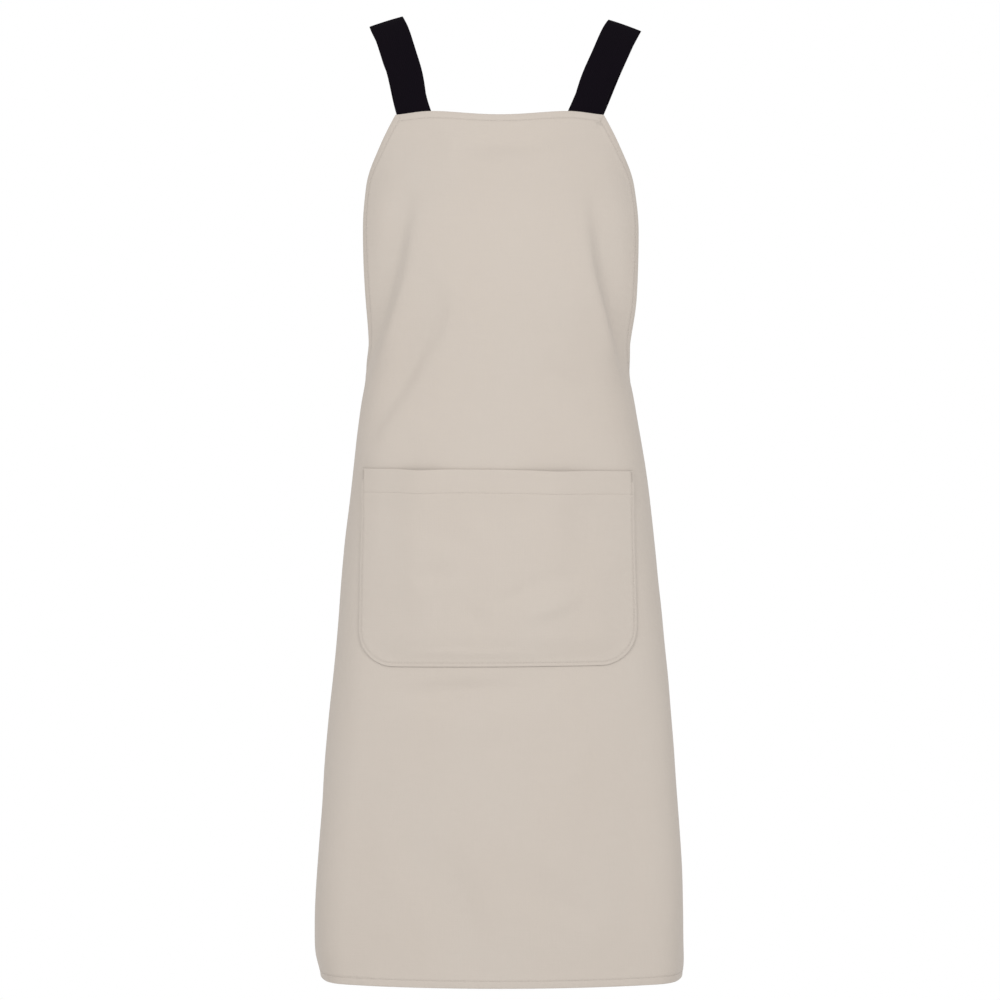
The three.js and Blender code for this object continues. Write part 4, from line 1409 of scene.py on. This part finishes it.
class APRON_OT_stage(bpy.types.Operator):
    """Make the camera, the soft light and the pale floor"""

    bl_idname = "apron.stage"
    bl_label = "Stage"

    def execute(self, context):
        sizes = context.scene.apron_stage
        camera = bpy.data.objects.new("camera", bpy.data.cameras.new("camera"))
        context.scene.collection.objects.link(camera)
        camera.data.sensor_width = 36
        camera.data.lens = sizes.lens
        camera.data.clip_end = 50
        camera.location = (0, -sizes.distance, sizes.height)
        camera.rotation_euler = (math.pi / 2, 0, 0)
        context.scene.camera = camera

        world = bpy.data.worlds.new("even_daylight")
        world.use_nodes = True
        nodes, links = world.node_tree.nodes, world.node_tree.links
        light = nodes["Background"]
        light.inputs["Color"].default_value = (1, 1, 1, 1)
        way = nodes.new("ShaderNodeTexCoord")
        parts = nodes.new("ShaderNodeSeparateXYZ")
        height = nodes.new("ShaderNodeMath")
        height.operation = "ABSOLUTE"
        fade = nodes.new("ShaderNodeMapRange")
        fade.interpolation_type = "SMOOTHSTEP"
        fade.inputs["From Min"].default_value = CEILING_FADE[0]
        fade.inputs["From Max"].default_value = CEILING_FADE[1]
        fade.inputs["To Min"].default_value = sizes.daylight
        fade.inputs["To Max"].default_value = sizes.ceiling
        links.new(way.outputs["Generated"], parts.inputs[0])
        links.new(parts.outputs[2], height.inputs[0])
        links.new(height.outputs[0], fade.inputs["Value"])
        links.new(fade.outputs[0], light.inputs["Strength"])
        context.scene.world = world
        context.scene.view_settings.view_transform = "Standard"
        context.scene.view_settings.look = "None"

        for name, place, width, share in LAMPS:
            lamp = bpy.data.lights.new(name, "AREA")
            lamp.shape = "SQUARE"
            lamp.size = width
            lamp.energy = sizes.window * share
            holder = bpy.data.objects.new(name, lamp)
            holder.location = place
            turn_to(holder, LAMP_TARGET)
            context.scene.collection.objects.link(holder)

        floor = self.floor(sizes.floor_drop)
        context.scene.collection.objects.link(floor)
        return {"FINISHED"}

    def floor(self, drop):
        """A round pale floor under the apron, on which nothing stands."""
        count = FLOOR_SIDES
        angle = np.linspace(0, 2 * np.pi, count + 1)[:-1]
        points = [(0, 0, -drop)]
        points += [(r * math.cos(a), r * math.sin(a), -drop) for r in FLOOR_RINGS for a in angle]
        faces = [(0, 1 + k, 1 + (k + 1) % count) for k in range(count)]
        for ring in range(len(FLOOR_RINGS) - 1):
            inner, outer = 1 + ring * count, 1 + (ring + 1) * count
            for k in range(count):
                after = (k + 1) % count
                faces.append((inner + k, outer + k, outer + after, inner + after))
        mesh = bpy.data.meshes.new("pale_floor")
        mesh.from_pydata(points, [], faces)
        graph = Graph("pale_floor")
        place = graph.node("ShaderNodeTexCoord").outputs["Object"]
        grain = graph.noise(place, 14.0, (1, 1, 1), 3.0, 0.5)
        base = graph.tint(FLOOR_COLOUR, graph.ramp(grain, 0.98, 1.0))
        graph.feed(graph.shader.inputs["Base Color"], base)
        graph.shader.inputs["Roughness"].default_value = 0.85
        mesh.materials.append(graph.material)
        return bpy.data.objects.new("pale_floor", mesh)


class APRON_OT_cloth(bpy.types.Operator):
    """Make the apron's body, one sheet of cotton from bib to hem"""

    bl_idname = "apron.cloth"
    bl_label = "Apron cloth"

    def execute(self, context):
        sizes = context.scene.apron_cotton
        colour = tuple(sizes.colour)
        cotton = sewn_cotton("apron_cotton", colour, sizes.stitch_inset, CLOTH_STITCH_PAINTED_SHADE)
        layers = apron_grid(CLOTH_COLUMNS, CLOTH_ROWS)
        cloth = sheet_from_places("apron_cloth", layers, dressed, from_edge, cotton)
        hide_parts("apron_panel")
        return {"FINISHED"}


class APRON_OT_hems(bpy.types.Operator):
    """Make the six turned hems round the apron"""

    bl_idname = "apron.hems"
    bl_label = "Turned hems"

    def execute(self, context):
        sizes = context.scene.apron_cotton
        # painted shade: the hems get a darker copy of the same cotton
        colour = shaded(sizes.colour, HEM_PAINTED_SHADE)
        cotton = sewn_cotton("hem_cotton_painted_shade", colour, sizes.stitch_inset, FOLDED_STITCH_PAINTED_SHADE)
        top = level_hem("bib_top_fold", True, TOP_HEM_COLUMNS, cotton)
        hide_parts("bib_top_hem")
        bottom = level_hem("bottom_fold", False, BOTTOM_HEM_COLUMNS, cotton)
        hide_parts("bottom_hem")
        spans = (("armhole", 0, CORNER_AT, ARMHOLE_HEM_ROWS), ("side", CORNER_AT, 1, SIDE_HEM_ROWS))
        for name, side in (("left", -1), ("right", 1)):
            for part, start, end, rows in spans:
                edge = edge_hem(f"{name}_{part}_fold", side, start, end, rows, cotton)
                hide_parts(f"{name}_{part}_hem")
        return {"FINISHED"}


class APRON_OT_pocket(bpy.types.Operator):
    """Make the wide patch pocket and the hem of its mouth"""

    bl_idname = "apron.pocket"
    bl_label = "Patch pocket"

    def execute(self, context):
        sizes = context.scene.apron_cotton
        # painted shade: the pocket gets a slightly darker copy of the same cotton
        colour = shaded(sizes.colour, POCKET_PAINTED_SHADE)
        inset = sizes.pocket_stitch_inset
        cotton = sewn_cotton("pocket_cotton_painted_shade", colour, inset, FOLDED_STITCH_PAINTED_SHADE)
        places = pocket_grid(POCKET_COLUMNS)
        distance, _ = from_pocket_edge(places[..., 0], places[..., 1])
        mouth_drop = edge_drop(places[..., 1], ROLL)
        outer = np.maximum(edge_drop(distance, POCKET_EDGE), mouth_drop)
        inner = np.maximum(CLOTH, outer + FACE_GAP)
        pocket = pocket_sheet("pocket_cloth", places, outer, inner, cotton)
        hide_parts("front_pocket")

        half = POCKET_WIDTH / 2 - MOUTH_HEM_INSET
        across = np.linspace(-half, half, MOUTH_HEM_COLUMNS)
        across, down = np.meshgrid(across, MOUTH_HEM_STEPS)
        places = np.stack([across, down], axis=-1)
        pinch = MOUTH_PINCH * smooth(MOUTH_PINCH_START, POCKET_HEM, down)
        turn = edge_drop(down, ROLL)
        front = np.maximum(-HEM_OUTER + pinch, turn + FACE_GAP)
        back = -HEM_INNER - pinch - turn
        hem = pocket_sheet("pocket_mouth_fold", places, front, back, cotton)
        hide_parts("pocket_mouth_hem")
        return {"FINISHED"}


class APRON_OT_straps(bpy.types.Operator):
    """Make the two strap tapes that cross on the back"""

    bl_idname = "apron.straps"
    bl_label = "Shoulder straps"

    def execute(self, context):
        tape = ribbed_tape()
        for name, strap in make_straps().items():
            piece = strap_sheet(f"{name}_strap", strap, tape)
            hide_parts(f"{name}_shoulder_strap")
        return {"FINISHED"}


class APRON_OT_sewing(bpy.types.Operator):
    """Make the stitches of the hems, the pocket and the strap ends"""

    bl_idname = "apron.sewing"
    bl_label = "Sewing"

    def execute(self, context):
        sizes = context.scene.apron_cotton
        light = spun_thread("cotton_thread", shaded(sizes.colour, THREAD_SHADE))
        pitch, length = sizes.stitch_pitch, sizes.stitch_length

        front, back = Stitches(sizes.thread_radius), Stitches(sizes.thread_radius)
        for line in hem_stitch_lines(sizes.stitch_inset):
            front.run(dressed, line, STITCH_LIFT, pitch, length)
            back.run(dressed, line, HEM_INNER, pitch, length)
        front.make("hem_stitches_front", light, "cotton")
        back.make("hem_stitches_back", light, "cotton")

        pocket, behind = Stitches(sizes.thread_radius), Stitches(sizes.thread_radius)
        seam = pocket_outline(sizes.pocket_stitch_inset)
        half = POCKET_WIDTH / 2
        reach = half - MOUTH_STITCH_END
        mouth = np.array([(-reach, POCKET_HEM), (reach, POCKET_HEM)])
        pocket.run(on_pocket, seam, STITCH_LIFT, pitch, length)
        pocket.run(on_pocket, mouth, STITCH_LIFT, pitch, length)
        for side in (-1, 1):
            pocket.add(on_pocket, bar_tack(side * (half - TACK_INSET)), TACK_LIFT)
        laid = np.stack(pocket_place(seam[:, 0], seam[:, 1]), axis=-1)
        behind.run(dressed, laid, -CLOTH, pitch, length)
        pocket.make("pocket_stitches", light, "cotton")
        behind.make("pocket_stitches_back", light, "cotton")

        dark = spun_thread("tape_thread", TAPE_THREAD)
        tape = Stitches(sizes.thread_radius)
        for strap in make_straps().values():
            past = strap.length + BOX_NEAR
            for start, end in ((-BOX_FAR, -BOX_NEAR), (past, strap.length + BOX_FAR)):
                for line in self.crossed_box(start, end):
                    tape.run(strap.at, line, -TAPE, pitch, length)
        tape.make("strap_stitches", dark, "tape")
        return {"FINISHED"}

    def crossed_box(self, start, end):
        """The lines of a box with a cross in it, across the tape from one run to another."""
        out = STRAP_WIDTH / 2 - BOX_INSET
        corners = [(-out, start), (out, start), (out, end), (-out, end)]
        pairs = [(0, 1), (1, 2), (2, 3), (3, 0), (0, 2), (1, 3)]
        return [np.array([corners[a], corners[b]], float) for a, b in pairs]


class APRON_OT_facts(bpy.types.Operator):
    """Gather the apron's six turned hems, and do nothing more with them"""

    bl_idname = "apron.facts"
    bl_label = "Cloth facts"

    def execute(self, context):
        piece = bpy.data.objects
        folds = [piece["bib_top_fold"], piece["bottom_fold"]]
        folds += [piece[f"{side}_{part}_fold"] for side in ("left", "right") for part in ("armhole", "side")]
        return {"FINISHED"}


STEPS = (
    APRON_OT_stage,
    APRON_OT_cloth,
    APRON_OT_hems,
    APRON_OT_pocket,
    APRON_OT_straps,
    APRON_OT_sewing,
    APRON_OT_facts,
)


class APRON_PT_sidebar(bpy.types.Panel):
    """Lists the apron's sizes and the steps that build it"""

    bl_idname = "APRON_PT_sidebar"
    bl_label = "Cotton apron"
    bl_space_type = "VIEW_3D"
    bl_region_type = "UI"
    bl_category = "Apron"

    def draw(self, context):
        scene = context.scene
        for settings in (scene.apron_cotton, scene.apron_tape, scene.apron_stage):
            for name in settings.bl_rna.properties.keys():
                if name not in ("rna_type", "name"):
                    self.layout.prop(settings, name)
        for step in STEPS:
            self.layout.operator(step.bl_idname)


CLASSES = (CottonSettings, TapeSettings, StageSettings, *STEPS, APRON_PT_sidebar)


def register():
    for made in CLASSES:
        bpy.utils.register_class(made)
    bpy.types.Scene.apron_cotton = bpy.props.PointerProperty(type=CottonSettings)
    bpy.types.Scene.apron_tape = bpy.props.PointerProperty(type=TapeSettings)
    bpy.types.Scene.apron_stage = bpy.props.PointerProperty(type=StageSettings)


def unregister():
    for name in ("apron_cotton", "apron_tape", "apron_stage"):
        delattr(bpy.types.Scene, name)
    for made in reversed(CLASSES):
        bpy.utils.unregister_class(made)


def main():
    register()
    bpy.ops.apron.stage()
    bpy.ops.apron.cloth()
    bpy.ops.apron.hems()
    bpy.ops.apron.pocket()
    bpy.ops.apron.straps()
    bpy.ops.apron.sewing()
    bpy.ops.apron.facts()


if __name__ == "__main__":
    main()
